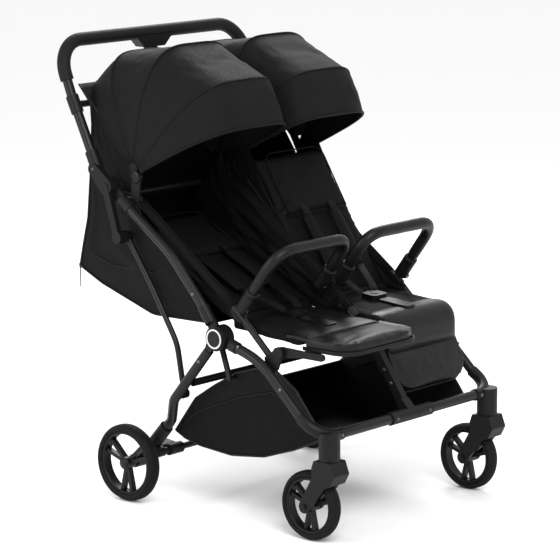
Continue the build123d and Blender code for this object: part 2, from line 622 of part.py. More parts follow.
# The fold block hangs under the middle of the grip, with the trigger in its lower edge.
bar_y, bar_z = HANDLE_TOP
block_face = make_face(
    Polyline(
        (-BLOCK_TOP_W / 2, 8),
        (BLOCK_TOP_W / 2, 8),
        (BLOCK_TOP_W / 2 - 4, -8),
        (BLOCK_LOW_W / 2 + 6, -BLOCK_DROP),
        (-BLOCK_LOW_W / 2 - 6, -BLOCK_DROP),
        (-BLOCK_TOP_W / 2 + 4, -8),
        close=True,
    )
)
block = Pos(0, bar_y + BLOCK_DEEP / 2, bar_z) * (Rot(90, 0, 0) * extrude(block_face, amount=BLOCK_DEEP))
block = fillet(block.edges().filter_by(Axis.Y), 5)
grip_room = rod([Vector(-100, bar_y, bar_z), Vector(100, bar_y, bar_z)], [], GRIP_D + 2 * FIT)
well_high = bar_z - BLOCK_DROP + 12
trigger_well = Pos(0, bar_y, well_high - 8) * Box(TRIGGER_W + 2 * GAP, TRIGGER_DEEP + 2 * GAP, 16)
save("fold_block", block - grip_room - trigger_well)
trigger_high = well_high - TRIGGER_TRAVEL - 0.5
trigger_low = bar_z - BLOCK_DROP - 7
trigger = Pos(0, bar_y, (trigger_low + trigger_high) / 2) * Box(TRIGGER_W, TRIGGER_DEEP, trigger_high - trigger_low)
save("fold_trigger", fillet(trigger.edges().filter_by(Axis.Z), 3))

# ---- Rear legs ----------------------------------------------------------------------------------

leg_start = toward(HUB, LEG_BEND, LEG_FROM)
leg_foot = toward(LEG_KICK, REAR_AXLE, 118)
leg_points = [at(-LEG_X, leg_start), at(-LEG_X, LEG_BEND), at(-LEG_LOW_X, LEG_KICK), at(-LEG_LOW_X, leg_foot)]
leg_bends = [40, 40]
leg = tube(leg_points, leg_bends, TUBE_D, TUBE_WALL)
leg_space = rod(leg_points, leg_bends, TUBE_D + 2 * FIT)
head = drum(-HUB_FACE_X, -HUB_JOIN_X - GAP / 2, HUB, HUB_R)
neck_end = toward(HUB, LEG_BEND, LEG_FROM - FIT - NECK_R)
neck = lozenge(-HUB_FACE_X, -HUB_JOIN_X - GAP / 2, HUB, neck_end, NECK_R + 2, NECK_R)
plug_r = TUBE_D / 2 - TUBE_WALL - FIT
plug_ends = [at(-LEG_X, toward(HUB, LEG_BEND, d)) for d in (LEG_FROM - 4, LEG_FROM + 22)]
head = head + neck + rod(plug_ends, [], 2 * plug_r)
head = head - drum(-HUB_FACE_X - 5, -HUB_BACK_X, HUB, PIVOT_R + RUN)
pin_boss = drum(-LEG_X + 5, -LINK_X - LINK_D / 2 - GAP, LINK_PIN, 11) - leg_space
link_axle = drum(-LEG_X + TUBE_D / 2 + 0.3, -LINK_X + LINK_D / 2 + 3, LINK_PIN, 5)
save("rear_legs", *both(leg), *both(head), *both(pin_boss + link_axle))

leg_bar_half = LEG_X - TUBE_D / 2 - 0.3
leg_bar = tube([at(-leg_bar_half, LEG_BAR), at(leg_bar_half, LEG_BAR)], [], CROSS_D, RAIL_WALL)
foot_half = LEG_LOW_X - 9
foot_bar = tube([at(-foot_half, FOOT_BAR), at(foot_half, FOOT_BAR)], [], CROSS_D - 2, RAIL_WALL)
save("leg_cross_tubes", leg_bar, foot_bar)

wheel_bracket = rod([at(-LEG_LOW_X, BRACKET_FROM), at(-LEG_LOW_X, REAR_AXLE)], [], BRACKET_D)
wheel_bracket = wheel_bracket + drum(-REAR_WHEEL_X + REAR_TYRE_W / 2 + 1, -LEG_LOW_X + 12, REAR_AXLE, 17)
lug_foot = toward(REAR_AXLE, BRACKET_FROM, 44)
foot_lug = lozenge(-LEG_LOW_X - 10, -LEG_LOW_X + 12, FOOT_BAR, lug_foot, 12, 13)
foot_cut = drum(-foot_half - FIT, 0, FOOT_BAR, CROSS_D / 2 - 1 + FIT)
wheel_bracket = wheel_bracket + foot_lug - leg_space - foot_cut
axle_x = -REAR_WHEEL_X - REAR_TYRE_W / 2 + 3
rear_axle = drum(axle_x, -LEG_LOW_X, REAR_AXLE, AXLE_D / 2)
save("rear_brackets", *both(wheel_bracket + rear_axle))

# Brake pedal on the lower cross tube
pedal_x = -LEG_LOW_X + 52
pedal = drum(pedal_x - 22, pedal_x + 22, FOOT_BAR, 14) - drum(pedal_x - 30, pedal_x + 30, FOOT_BAR, CROSS_D / 2 - 1 + 0.3)
pedal_arm = lozenge(pedal_x - 22, pedal_x + 22, (FOOT_BAR[0] + 22, FOOT_BAR[1] + 3), (FOOT_BAR[0] + 62, FOOT_BAR[1] + 10), 7, 4)
pedal_neck = lozenge(pedal_x - 12, pedal_x + 12, (FOOT_BAR[0] + 12, FOOT_BAR[1] + 2), (FOOT_BAR[0] + 30, FOOT_BAR[1] + 4), 6, 6)
pedal_clear = drum(pedal_x - 30, pedal_x + 30, FOOT_BAR, CROSS_D / 2 - 1 + 0.3)
save("brake_pedal", pedal + pedal_arm + pedal_neck - pedal_clear)

# Fold links
link_points = [LINK_PIN, (474.0, 402.0), (552.0, 524.0), KNUCKLE]
link_run = [at(-LINK_X, s) for s in link_points]
link = rod([at(-LINK_X, toward(LINK_PIN, link_points[1], 6))] + link_run[1:3] + [at(-LINK_X, toward(KNUCKLE, link_points[2], 6))], [120, 90], LINK_D)
link = link + drum(-LINK_X - LINK_D / 2, -LINK_X + LINK_D / 2, LINK_PIN, LINK_EYE_R)
link = link + drum(-LINK_X - LINK_D / 2, -LINK_X + LINK_D / 2, KNUCKLE, LINK_EYE_R)
link = link - drum(-LINK_X - 20, -LINK_X + 20, LINK_PIN, 5 + RUN)
link = link + drum(-LINK_X + LINK_D / 2 - 1, -LINK_X + LINK_D / 2 + 3, KNUCKLE, 6)
save("fold_links", *both(link))

# ---- Wheels -------------------------------------------------------------------------------------

def wheel_rim(radius, width):
    """Rim, hub and three double spokes, centred on the origin with its axis along x."""
    ring = Cylinder(radius, width) - Cylinder(radius - RIM_WALL, width + 1)
    boss = Cylinder(WHEEL_HUB_R, width + 6)
    spokes = []
    reach = radius - RIM_WALL + 1
    for turn in range(3):
        for lean in (-13, 13):
            bar = Pos((reach + 8) / 2, 0, 0) * Box(reach - 8, SPOKE_W, SPOKE_T)
            spokes.append(Rot(0, 0, 120 * turn + lean) * bar)
    body = ring + boss + spokes
    body = body - Cylinder(AXLE_D / 2 + RUN, width + 20)
    return Rot(0, 90, 0) * body


def tyre(inner, outer, width):
    """Foam tyre with a rounded tread, centred on the origin with its axis along x."""
    face = Pos((inner + outer) / 2, 0) * Rectangle(outer - inner, width)
    face = fillet(face.vertices().group_by(Axis.X)[-1], 0.36 * width)
    return Rot(0, 90, 0) * revolve(Plane.XZ * face, Axis.Z, 360)


front_axle = (TRAIL, FRONT_WHEEL_R)
for side, word in ((-1, "right"), (1, "left")):
    front_at = Pos(side * STEM_X, *front_axle)
    rear_spot = Pos(side * REAR_WHEEL_X, *REAR_AXLE)
    save(f"front_rim_{word}", front_at * wheel_rim(FRONT_RIM_R, RIM_W))
    save(f"front_tyre_{word}", front_at * tyre(FRONT_RIM_R + FIT, FRONT_WHEEL_R, FRONT_TYRE_W))
    save(f"rear_rim_{word}", rear_spot * wheel_rim(REAR_RIM_R, RIM_W))
    save(f"rear_tyre_{word}", rear_spot * tyre(REAR_RIM_R + FIT, REAR_WHEEL_R, REAR_TYRE_W))

# ---- Caster forks -------------------------------------------------------------------------------

crown_z = STEM_Z - GAP
crown_outline = [(-25, crown_z), (25, crown_z), (33, 174), (30, 150), (-6, 136), (-24, 143), (-37, 168)]
crown = slab(-FORK_W / 2, FORK_W / 2, crown_outline)
crown = fillet(crown.edges().filter_by(Axis.X), 4)
wheel_room = drum(-FRONT_TYRE_W / 2 - 3, FRONT_TYRE_W / 2 + 3, front_axle, FRONT_WHEEL_R + 4)
arm_in = FORK_W / 2 - FORK_ARM_T
arms = lozenge(arm_in, FORK_W / 2, (4, 158), front_axle, 22, 15)
fork = (crown - wheel_room) + arms + mirror(arms, Plane.YZ)
stem_pin = Pos(0, 0, crown_z + STEM_PIN_LEN / 2 - 2) * Cylinder(STEM_PIN_D / 2, STEM_PIN_LEN - 2)
fork = fork + stem_pin - drum(-FORK_W, FORK_W, front_axle, AXLE_D / 2 + FIT)
bolt = drum(-FORK_W / 2 - 1, FORK_W / 2 + 1, front_axle, AXLE_D / 2)
bolt_heads = drum(FORK_W / 2 + 0.1, FORK_W / 2 + 4, front_axle, 7)
bolt = bolt + bolt_heads + mirror(bolt_heads, Plane.YZ)
for side, word in ((-1, "right"), (1, "left")):
    save(f"caster_fork_{word}", Pos(side * STEM_X, 0, 0) * fork, Pos(side * STEM_X, 0, 0) * bolt)
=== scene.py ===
import json
import math

import bmesh
import bpy
from mathutils import Matrix, Vector, noise


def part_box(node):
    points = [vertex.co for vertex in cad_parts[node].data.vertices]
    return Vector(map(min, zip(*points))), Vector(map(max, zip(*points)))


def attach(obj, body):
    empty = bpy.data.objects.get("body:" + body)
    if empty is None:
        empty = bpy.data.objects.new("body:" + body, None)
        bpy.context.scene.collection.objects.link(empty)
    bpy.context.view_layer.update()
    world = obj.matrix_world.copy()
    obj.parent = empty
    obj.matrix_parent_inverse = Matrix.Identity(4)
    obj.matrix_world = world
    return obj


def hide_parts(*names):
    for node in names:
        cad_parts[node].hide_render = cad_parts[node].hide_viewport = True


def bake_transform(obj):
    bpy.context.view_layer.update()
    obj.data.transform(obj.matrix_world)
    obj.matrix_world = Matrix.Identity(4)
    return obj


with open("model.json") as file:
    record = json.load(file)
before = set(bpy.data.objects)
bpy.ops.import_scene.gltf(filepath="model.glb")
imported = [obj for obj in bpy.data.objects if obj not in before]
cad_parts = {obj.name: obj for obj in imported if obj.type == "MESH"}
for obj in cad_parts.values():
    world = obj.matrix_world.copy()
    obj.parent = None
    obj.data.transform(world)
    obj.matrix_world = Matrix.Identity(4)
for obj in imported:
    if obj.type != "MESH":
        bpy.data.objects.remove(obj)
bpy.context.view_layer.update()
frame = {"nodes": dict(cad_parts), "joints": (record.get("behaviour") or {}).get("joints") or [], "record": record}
nodes = frame["nodes"]
pivots = {joint["name"]: joint for joint in frame["joints"]}
slot_of = {part["node"]: part["material_slot"] for part in frame["record"]["subparts"]}

# ---- Tubes of the chassis ------------------------------------------------------------------
# Bent aluminium tubes in satin black powder coat: front tubes, side tubes, rear legs, seat
# rails, handle and cross bars. The coat has a fine orange-peel surface.


def effect(name, inputs, build):
    """A shared surface effect: a shader group that gives a shade from 0 to 1 and a normal."""
    group = bpy.data.node_groups.new(name, "ShaderNodeTree")
    for socket, value in inputs.items():
        made = group.interface.new_socket(socket, in_out="INPUT", socket_type="NodeSocketFloat")
        made.default_value = value
    group.interface.new_socket("Shade", in_out="OUTPUT", socket_type="NodeSocketFloat")
    group.interface.new_socket("Normal", in_out="OUTPUT", socket_type="NodeSocketVector")
    start = group.nodes.new("NodeGroupInput")
    end = group.nodes.new("NodeGroupOutput")
    place_node = group.nodes.new("ShaderNodeTexCoord")
    height, shade = build(group, place_node.outputs["Object"], start.outputs)
    bump = group.nodes.new("ShaderNodeBump")
    group.links.new(height, bump.inputs["Height"])
    group.links.new(start.outputs["Depth"], bump.inputs["Distance"])
    bump.inputs["Strength"].default_value = 0.8
    group.links.new(shade, end.inputs["Shade"])
    group.links.new(bump.outputs["Normal"], end.inputs["Normal"])
    return group


def noise_of(group, place_from, scale_from, detail, rough):
    """A noise texture whose scale is a socket or a number."""
    tex = group.nodes.new("ShaderNodeTexNoise")
    group.links.new(place_from, tex.inputs["Vector"])
    if isinstance(scale_from, (int, float)):
        tex.inputs["Scale"].default_value = scale_from
    else:
        group.links.new(scale_from, tex.inputs["Scale"])
    tex.inputs["Detail"].default_value = detail
    tex.inputs["Roughness"].default_value = rough
    return tex.outputs["Fac"]


def mathed(group, operation, first, second):
    """One arithmetic node on sockets or numbers."""
    made = group.nodes.new("ShaderNodeMath")
    made.operation = operation
    for index, value in enumerate((first, second)):
        if isinstance(value, (int, float)):
            made.inputs[index].default_value = value
        else:
            group.links.new(value, made.inputs[index])
    return made.outputs[0]


def orange_peel(group, place_from, given):
    fine = noise_of(group, place_from, given["Scale"], 3.0, 0.6)
    broad = noise_of(group, place_from, 9.0, 2.0, 0.5)
    return fine, mathed(group, "MULTIPLY_ADD", broad, 0.8)


peel = effect("orange_peel", {"Scale": 700.0, "Depth": 0.0002}, orange_peel)


def finish_of(name, colour, rough, surface, settings, spread=0.35, **shader):
    """A material: one colour that varies with the surface effect, over a Principled shader."""
    material = bpy.data.materials.new(name)
    material.use_nodes = True
    tree = material.node_tree
    principled = tree.nodes["Principled BSDF"]
    group = tree.nodes.new("ShaderNodeGroup")
    group.node_tree = surface
    for socket, value in settings.items():
        group.inputs[socket].default_value = value
    mix = tree.nodes.new("ShaderNodeMix")
    mix.data_type = "RGBA"
    dark = [c * (1 - spread) for c in colour] + [1.0]
    light = [c * (1 + spread) for c in colour] + [1.0]
    mix.inputs[6].default_value = dark
    mix.inputs[7].default_value = light
    tree.links.new(group.outputs["Shade"], mix.inputs[0])
    tree.links.new(mix.outputs[2], principled.inputs["Base Color"])
    tree.links.new(group.outputs["Normal"], principled.inputs["Normal"])
    roughness = tree.nodes.new("ShaderNodeMapRange")
    roughness.inputs["To Min"].default_value = rough - 0.07
    roughness.inputs["To Max"].default_value = rough + 0.07
    tree.links.new(group.outputs["Shade"], roughness.inputs["Value"])
    tree.links.new(roughness.outputs["Result"], principled.inputs["Roughness"])
    for socket, value in shader.items():
        principled.inputs[socket.replace("_", " ")].default_value = value
    return material


powder_coat = finish_of(
    "powder_coat",
    (0.0044, 0.0044, 0.005),
    0.3,
    peel,
    {"Scale": 900.0, "Depth": 0.00012},
    Specular_IOR_Level=0.21,
)


def paint(slot_name, material):
    """Give every CAD node of one slot the same finish."""
    for node_name, slot in slot_of.items():
        if slot == slot_name:
            for index in range(max(1, len(nodes[node_name].material_slots))):
                if not nodes[node_name].material_slots:
                    nodes[node_name].data.materials.append(material)
                nodes[node_name].material_slots[index].material = material


paint("frame_tube", powder_coat)

# ---- Castings, housings and sockets --------------------------------------------------------
# Glass-filled nylon mouldings that hold the tubes: corner mouldings, the T on the crossbar,
# hub housings, pivots, wheel brackets and caster forks. They have a spark-eroded grain.


def spark_grain(group, place_from, given):
    fine = noise_of(group, place_from, given["Scale"], 6.0, 0.75)
    broad = noise_of(group, place_from, 14.0, 3.0, 0.55)
    return fine, broad


grain = effect("spark_grain", {"Scale": 500.0, "Depth": 0.0004}, spark_grain)
nylon = finish_of(
    "nylon",
    (0.0044, 0.0044, 0.005),
    0.46,
    grain,
    {"Scale": 520.0, "Depth": 0.0003},
    Specular_IOR_Level=0.17,
)
satin_cap = finish_of(
    "satin_cap",
    (0.0039, 0.0039, 0.0044),
    0.3,
    grain,
    {"Scale": 800.0, "Depth": 0.0001},
    Specular_IOR_Level=0.20,
)
rim_nylon = finish_of(
    "rim_nylon",
    (0.005, 0.005, 0.0055),
    0.42,
    grain,
    {"Scale": 420.0, "Depth": 0.0002},
    Specular_IOR_Level=0.17,
)
paint("moulded_plastic", nylon)
paint("cap_plastic", satin_cap)
paint("rim_plastic", rim_nylon)

# ---- Hub badges, rivets and screws ---------------------------------------------------------
# A plain pale ring is pressed into each hub cap. Domed steel rivets hold the tubes in their
# castings, and cross-head screws close the corner mouldings.
STEMS_Y = pivots["caster_right_swivel"]["pos_m"][1]
steel = finish_of(
    "dark_steel",
    (0.09, 0.09, 0.095),
    0.3,
    peel,
    {"Scale": 1500.0, "Depth": 0.0001},
    Metallic=0.9,
)
badge_pale = finish_of(
    "badge_pale",
    (0.55, 0.56, 0.57),
    0.4,
    grain,
    {"Scale": 900.0, "Depth": 0.00008},
    spread=0.08,
)


def place(x, y, z):
    """A point in metres from millimetres: across, behind the caster stems, above the ground."""
    return Vector((x / 1000, STEMS_Y + y / 1000, z / 1000))


def piece(name, mesh_from, material, body, stands_for=(), smooth=True):
    """Make an object from a bmesh, with its faces outwards, and let it ride on a body."""
    bmesh.ops.remove_doubles(mesh_from, verts=mesh_from.verts, dist=2e-6)
    bmesh.ops.recalc_face_normals(mesh_from, faces=mesh_from.faces)
    mesh = bpy.data.meshes.new(name)
    mesh_from.to_mesh(mesh)
    mesh_from.free()
    for face in mesh.polygons:
        face.use_smooth = smooth
    made = bpy.data.objects.new(name, mesh)
    bpy.context.scene.collection.objects.link(made)
    mesh.materials.append(material)
    if body:
        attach(made, body)
    if stands_for:
        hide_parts(*stands_for)
    return made


def facing(origin, direction):
    """A matrix that stands its z axis along a direction, at an origin."""
    return Matrix.Translation(origin) @ direction.to_track_quat("Z", "Y").to_matrix().to_4x4()


def turned_piece(mesh_to, outline, matrix, steps=32):
    """Spin an outline of (radius, height) pairs in millimetres about the matrix's z axis."""
    points = [mesh_to.verts.new((r / 1000, 0, h / 1000)) for r, h in outline]
    edges = [mesh_to.edges.new(pair) for pair in zip(points, points[1:])]
    made = bmesh.ops.spin(
        mesh_to,
        geom=points + edges,
        cent=(0, 0, 0),
        axis=(0, 0, 1),
        angle=math.tau,
        steps=steps,
        use_merge=True,
    )
    fresh = set(points) | {v for v in made["geom_last"] if isinstance(v, bmesh.types.BMVert)}
    fresh |= {v for v in mesh_to.verts if not v.tag}
    bmesh.ops.transform(mesh_to, matrix=matrix, verts=list(fresh))
    bmesh.ops.remove_doubles(mesh_to, verts=mesh_to.verts, dist=1e-6)
    for vert in mesh_to.verts:
        vert.tag = True


RIVET = [(0, 1.9), (2.2, 1.7), (3.6, 1.0), (4.4, 0.0), (4.4, -1.0), (0, -1.0)]
SCREW = [(0, 0.4), (1.6, 0.4), (1.9, 1.4), (3.6, 1.2), (4.2, 0.2), (4.2, -1.0), (0, -1.0)]
BADGE = [(19.5, 0.6), (20.3, 1.1), (22.7, 1.1), (23.5, 0.5), (23.5, -0.4), (19.5, -0.4), (19.5, 0.6)]
hub_at = pivots["rear_leg_fold"]["pos_m"]
hub_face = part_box("hub_caps")[0][0]
RIVET_SPOTS = {
    "frame": ([(332, 250, 432), (332, 120, 350), (332, 394, 537), (332, 612, 718)], RIVET),
    "rear_legs": ([(337, 371, 379), (302, 531, 172), (302, 556, 143)], RIVET),
    "handle": ([(336, 716, 801), (332, 783, 935)], SCREW),
}
for body, (spots, outline) in RIVET_SPOTS.items():
    studs = bmesh.new()
    for side in (-1, 1):
        for x, y, z in spots:
            turned_piece(studs, outline, facing(place(side * x, y, z), Vector((side, 0, 0))), 20)
    piece(f"rivets_{body}", studs, steel, body)
rings = bmesh.new()
for side in (-1, 1):
    origin = Vector((side * abs(hub_face), hub_at[1], hub_at[2]))
    turned_piece(rings, BADGE, facing(origin, Vector((side, 0, 0))), 48)
piece("hub_rings", rings, badge_pale, "frame")
crossbar_screws = bmesh.new()
for x in (-60, 60, -262, 262):
    turned_piece(crossbar_screws, SCREW, facing(place(x, -10.8, 252), Vector((0, -1, 0))), 20)
for z in (320, 350):
    for side in (-1, 1):
        spot = place(side * 9.2, 24 + (z - 277) * 0.71, z)
        turned_piece(crossbar_screws, RIVET, facing(spot, Vector((side, 0, 0))), 20)
piece("crossbar_screws", crossbar_screws, steel, "frame")

# ---- Wheels --------------------------------------------------------------------------------
# Foamed tyres with a finely ribbed tread and a stepped sidewall, pressed on nylon rims that
# have three double spokes. Each rim has a raised lip and a domed cap over the axle.


def tyre_foam(group, place_from, given):
    fine = noise_of(group, place_from, given["Scale"], 4.0, 0.7)
    return fine, noise_of(group, place_from, 22.0, 3.0, 0.6)


foam = finish_of(
    "tyre_foam",
    (0.0055, 0.0055, 0.0058),
    0.7,
    effect("tyre_foam", {"Scale": 600.0, "Depth": 0.0005}, tyre_foam),
    {"Depth": 0.0004},
    Specular_IOR_Level=0.12,
)
TREAD_RIBS = 150
ACROSS = Vector((1, 0, 0))


def wheel(word, side, kind, wheel_r, rim_r, width):
    """Tyre, rim lip and axle cap of one wheel, about its own axle."""
    body = f"{kind}_wheel_{word}"
    axle = Vector(pivots[f"{body}_spin"]["pos_m"])
    half = width / 2
    sidewall = [
        (rim_r, -half * 0.72),
        (rim_r + 3, -half * 0.84),
        (wheel_r - 12, -half * 0.98),
        (wheel_r - 10.6, -half),
        (wheel_r - 7, -half * 0.97),
        (wheel_r - 6, -half * 0.82),
        (wheel_r - 2.4, -half * 0.62),
        (wheel_r - 0.9, -half * 0.4),
        (wheel_r - 0.7, 0),
    ]
    outline = sidewall + [(r, -h) for r, h in reversed(sidewall[:-1])] + [sidewall[0]]
    rubber = bmesh.new()
    turned_piece(rubber, outline, facing(axle, ACROSS), 2 * TREAD_RIBS)
    for vert in rubber.verts:
        out = vert.co - axle
        out.x = 0
        turn = math.atan2(out.z, out.y) * TREAD_RIBS / math.tau
        if out.length > (wheel_r - 3) / 1000 and round(2 * turn) % 2:
            vert.co -= out.normalized() * 0.0009
    piece(f"{kind}_tyre_ribbed_{word}", rubber, foam, body, [f"{kind}_tyre_{word}"])
    trim = bmesh.new()
    for face_side in (-1, 1):
        lip = [
            (rim_r - 6, 11),
            (rim_r - 4.6, 13),
            (rim_r - 1.6, 13),
            (rim_r - 0.6, 11.4),
            (rim_r - 0.6, 10),
            (rim_r - 6, 10),
        ]
        turned_piece(trim, lip + [lip[0]], facing(axle, ACROSS * face_side), 72)
    cap = [(0, 18.5), (6, 18.2), (10.5, 17), (12.5, 15.4), (12.5, 13), (0, 13)]
    turned_piece(trim, cap, facing(axle, ACROSS * side), 40)
    piece(f"{kind}_rim_trim_{word}", trim, satin_cap, body)


for side, word in ((-1, "right"), (1, "left")):
    wheel(word, side, "front", 82.5, 66.0, 34.0)
    wheel(word, side, "rear", 95.0, 77.0, 36.0)

# ---- Handle grip and fold block ------------------------------------------------------------
# Foam sleeve over the handle loop, with moulded end collars. The fold block is clamped round
# its middle, with two shallow ribs on its face, and the trigger moves in its lower edge.
grip_foam = finish_of(
    "grip_foam",
    (0.005, 0.005, 0.0055),
    0.6,
    bpy.data.node_groups["tyre_foam"],
    {"Scale": 900.0, "Depth": 0.0003},
    Specular_IOR_Level=0.15,
)
paint("grip_foam", grip_foam)


def rounded(points, radius, steps=8):
    """A polyline through points, with its corners rounded off over a radius, in metres."""
    line = [points[0]]
    for before, corner, after in zip(points, points[1:], points[2:]):
        reach = min(radius, (before - corner).length * 0.49, (after - corner).length * 0.49)
        enter = corner + (before - corner).normalized() * reach
        leave = corner + (after - corner).normalized() * reach
        for step in range(steps + 1):
            t = step / steps
            line.append(enter * (1 - t) ** 2 + corner * 2 * t * (1 - t) + leave * t**2)
    line.append(points[-1])
    return line


def swept(mesh_to, line, radii, segments=16, flat=1.0, cap=True):
    """Join rings along a line into a round bar. flat squeezes the rings across their y axis."""
    loops = []
    up = Vector((0.02, -0.6, 0.8))
    for index, point in enumerate(line):
        before, after = line[max(index - 1, 0)], line[min(index + 1, len(line) - 1)]
        along = (after - before).normalized()
        over = (up - along * up.dot(along)).normalized()
        beside = along.cross(over)
        turn = Matrix((beside, over, along)).transposed().to_4x4()
        radius = radii[index] if hasattr(radii, "__len__") else radii
        ring = bmesh.ops.create_circle(
            mesh_to,
            segments=segments,
            radius=radius,
            matrix=Matrix.Translation(point) @ turn @ Matrix.Diagonal((1, flat, 1, 1)),
        )["verts"]
        loops.append([e for v in ring for e in v.link_edges])
        loops[-1] = list(set(loops[-1]))
    for low, high in zip(loops, loops[1:]):
        bmesh.ops.bridge_loops(mesh_to, edges=low + high)
    if cap:
        bmesh.ops.contextual_create(mesh_to, geom=loops[0])
        bmesh.ops.contextual_create(mesh_to, geom=loops[-1])


block_low, block_high = (Vector(c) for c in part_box("fold_block"))
ribs = bmesh.new()
for height in (0.62, 0.78):
    z = block_low.z + (block_high.z - block_low.z) * height
    half = 0.028 * height
    line = [Vector((x, block_low.y - 0.0002, z)) for x in (-half, 0, half)]
    swept(ribs, line, 0.0014, 10)
piece("fold_block_ribs", ribs, satin_cap, "handle")

# ---- Bumper bars ---------------------------------------------------------------------------
# A steel bow padded with foam and sleeved in black leatherette, sewn along its inside. A
# moulded ring closes the sleeve at each end, over the plug that goes in the frame's socket.


def pebbled(group, place_from, given):
    cells = group.nodes.new("ShaderNodeTexVoronoi")
    cells.feature = "SMOOTH_F1"
    group.links.new(place_from, cells.inputs["Vector"])
    group.links.new(given["Scale"], cells.inputs["Scale"])
    creases = noise_of(group, place_from, 60.0, 5.0, 0.6)
    height = mathed(group, "MULTIPLY_ADD", creases, 0.5)
    group.links.new(cells.outputs["Distance"], height.node.inputs[2])
    return height, noise_of(group, place_from, 12.0, 2.0, 0.5)


pebble = effect("pebbled", {"Scale": 420.0, "Depth": 0.0006}, pebbled)
leatherette = finish_of(
    "leatherette",
    (0.0044, 0.0044, 0.005),
    0.38,
    pebble,
    {"Depth": 0.0005},
    Specular_IOR_Level=0.19,
)
stitching = finish_of("stitching", (0.02, 0.02, 0.022), 0.7, peel, {"Scale": 1600.0, "Depth": 0.0002})
BUMPER_OUT, BUMPER_IN = 292, 34
SLEEVE_R, SLEEVE_END_STEP = 0.0142, 0.0016
BUMPER_LOW, BUMPER_TOP = (277, 503), (163, 659)


def bumper_at(x, up):
    """A place on the line of a bumper bar's leg, so far up from its foot."""
    run = math.dist(BUMPER_LOW, BUMPER_TOP)
    y = BUMPER_LOW[0] + (BUMPER_TOP[0] - BUMPER_LOW[0]) * up / run
    z = BUMPER_LOW[1] + (BUMPER_TOP[1] - BUMPER_LOW[1]) * up / run
    return place(x, y, z)


for side, word in ((-1, "right"), (1, "left")):
    run = math.dist(BUMPER_LOW, BUMPER_TOP)
    corners = [
        bumper_at(side * BUMPER_OUT, 57),
        bumper_at(side * BUMPER_OUT, run),
        bumper_at(side * BUMPER_IN, run),
        bumper_at(side * BUMPER_IN, 83),
    ]
    line = []
    bends = rounded(corners, 0.098, 14)
    for start, end in zip(bends, bends[1:]):
        parts = max(1, round((end - start).length / 0.012))
        line += [start.lerp(end, part / parts) for part in range(parts)]
    line.append(bends[-1])
    last = len(line) - 1
    radii = []
    for index, point in enumerate(line):
        near_end = min(index, last - index)
        swell = noise.noise(point * 38) * 0.0005
        radii.append(SLEEVE_R + swell - (SLEEVE_END_STEP if near_end < 2 else 0))
    sleeve = bmesh.new()
    swept(sleeve, line, radii, 28)
    bar = piece(
        f"bumper_sleeve_{word}",
        sleeve,
        leatherette,
        f"bumper_{word}",
        [f"bumper_{word}"],
    )
    seam = bmesh.new()
    below = Vector((0, 0.0085, -0.0112))
    swept(seam, [p + below for p in line[3:-3]], 0.0011, 6)
    piece(f"bumper_seam_{word}", seam, stitching, f"bumper_{word}")
    collars = bmesh.new()
    for x, up in ((side * BUMPER_OUT, 56.6), (side * BUMPER_IN, 82.6)):
        along = (bumper_at(x, 10) - bumper_at(x, 0)).normalized()
        ring = [(9, 0), (16.5, 0), (17, 2), (17, 9), (15.5, 11), (12, 11), (9, 11), (9, 0)]
        turned_piece(collars, ring, facing(bumper_at(x, up), along), 36)
        plug = [(0, 2), (9, 2), (9, -27), (7, -30), (0, -30)]
        turned_piece(collars, plug, facing(bumper_at(x, up), along), 28)
    piece(f"bumper_collars_{word}", collars, nylon, f"bumper_{word}")

# ---- Seat cushions and backrests -----------------------------------------------------------
# Polyester covers filled with wadding, swollen by simulation from the cushion's own solid.
# The seams are held down while the rest rises. The right backrest reclines, the left is upright.


def woven(group, place_from, given):
    total = None
    for axis in ("X", "Y", "Z"):
        wave = group.nodes.new("ShaderNodeTexWave")
        wave.bands_direction = axis
        group.links.new(place_from, wave.inputs["Vector"])
        group.links.new(given["Scale"], wave.inputs["Scale"])
        wave.inputs["Distortion"].default_value = 0.6
        total = wave.outputs["Fac"] if total is None else mathed(group, "ADD", total, wave.outputs["Fac"])
    mottle = noise_of(group, place_from, 18.0, 5.0, 0.65)
    melange = noise_of(group, place_from, 420.0, 2.0, 0.5)
    shade = mathed(group, "MULTIPLY", mathed(group, "ADD", mottle, melange), 0.5)
    return total, shade


weave = effect("woven", {"Scale": 160.0, "Depth": 0.0002}, woven)
seat_cloth = finish_of(
    "seat_cloth", (0.0033, 0.0033, 0.0037), 0.7, weave, {"Depth": 0.0002}, spread=0.5, Specular_IOR_Level=0.08
)


def copied_solids(node_name, keep):
    """A merged copy of the solids of one node whose box passes the test keep(low, high)."""
    copy = bmesh.new()
    copy.from_mesh(nodes[node_name].data)
    bmesh.ops.remove_doubles(copy, verts=copy.verts, dist=1e-6)
    left = set(copy.verts)
    drop = []
    while left:
        island, edge_of = set(), [left.pop()]
        while edge_of:
            vert = edge_of.pop()
            island.add(vert)
            for edge in vert.link_edges:
                other = edge.other_vert(vert)
                if other in left:
                    left.discard(other)
                    edge_of.append(other)
        low = [min(v.co[i] for v in island) for i in range(3)]
        high = [max(v.co[i] for v in island) for i in range(3)]
        if not keep(low, high):
            drop += list(island)
    bmesh.ops.delete(copy, geom=drop, context="VERTS")
    return copy


def baked(made):
    """The object's mesh with its modifiers applied."""
    bpy.context.view_layer.update()
    seen = made.evaluated_get(bpy.context.evaluated_depsgraph_get())
    mesh = bpy.data.meshes.new_from_object(seen)
    made.modifiers.clear()
    made.data = mesh


SETTLE_FRAMES = 20
COVER_PRESSURE = 4


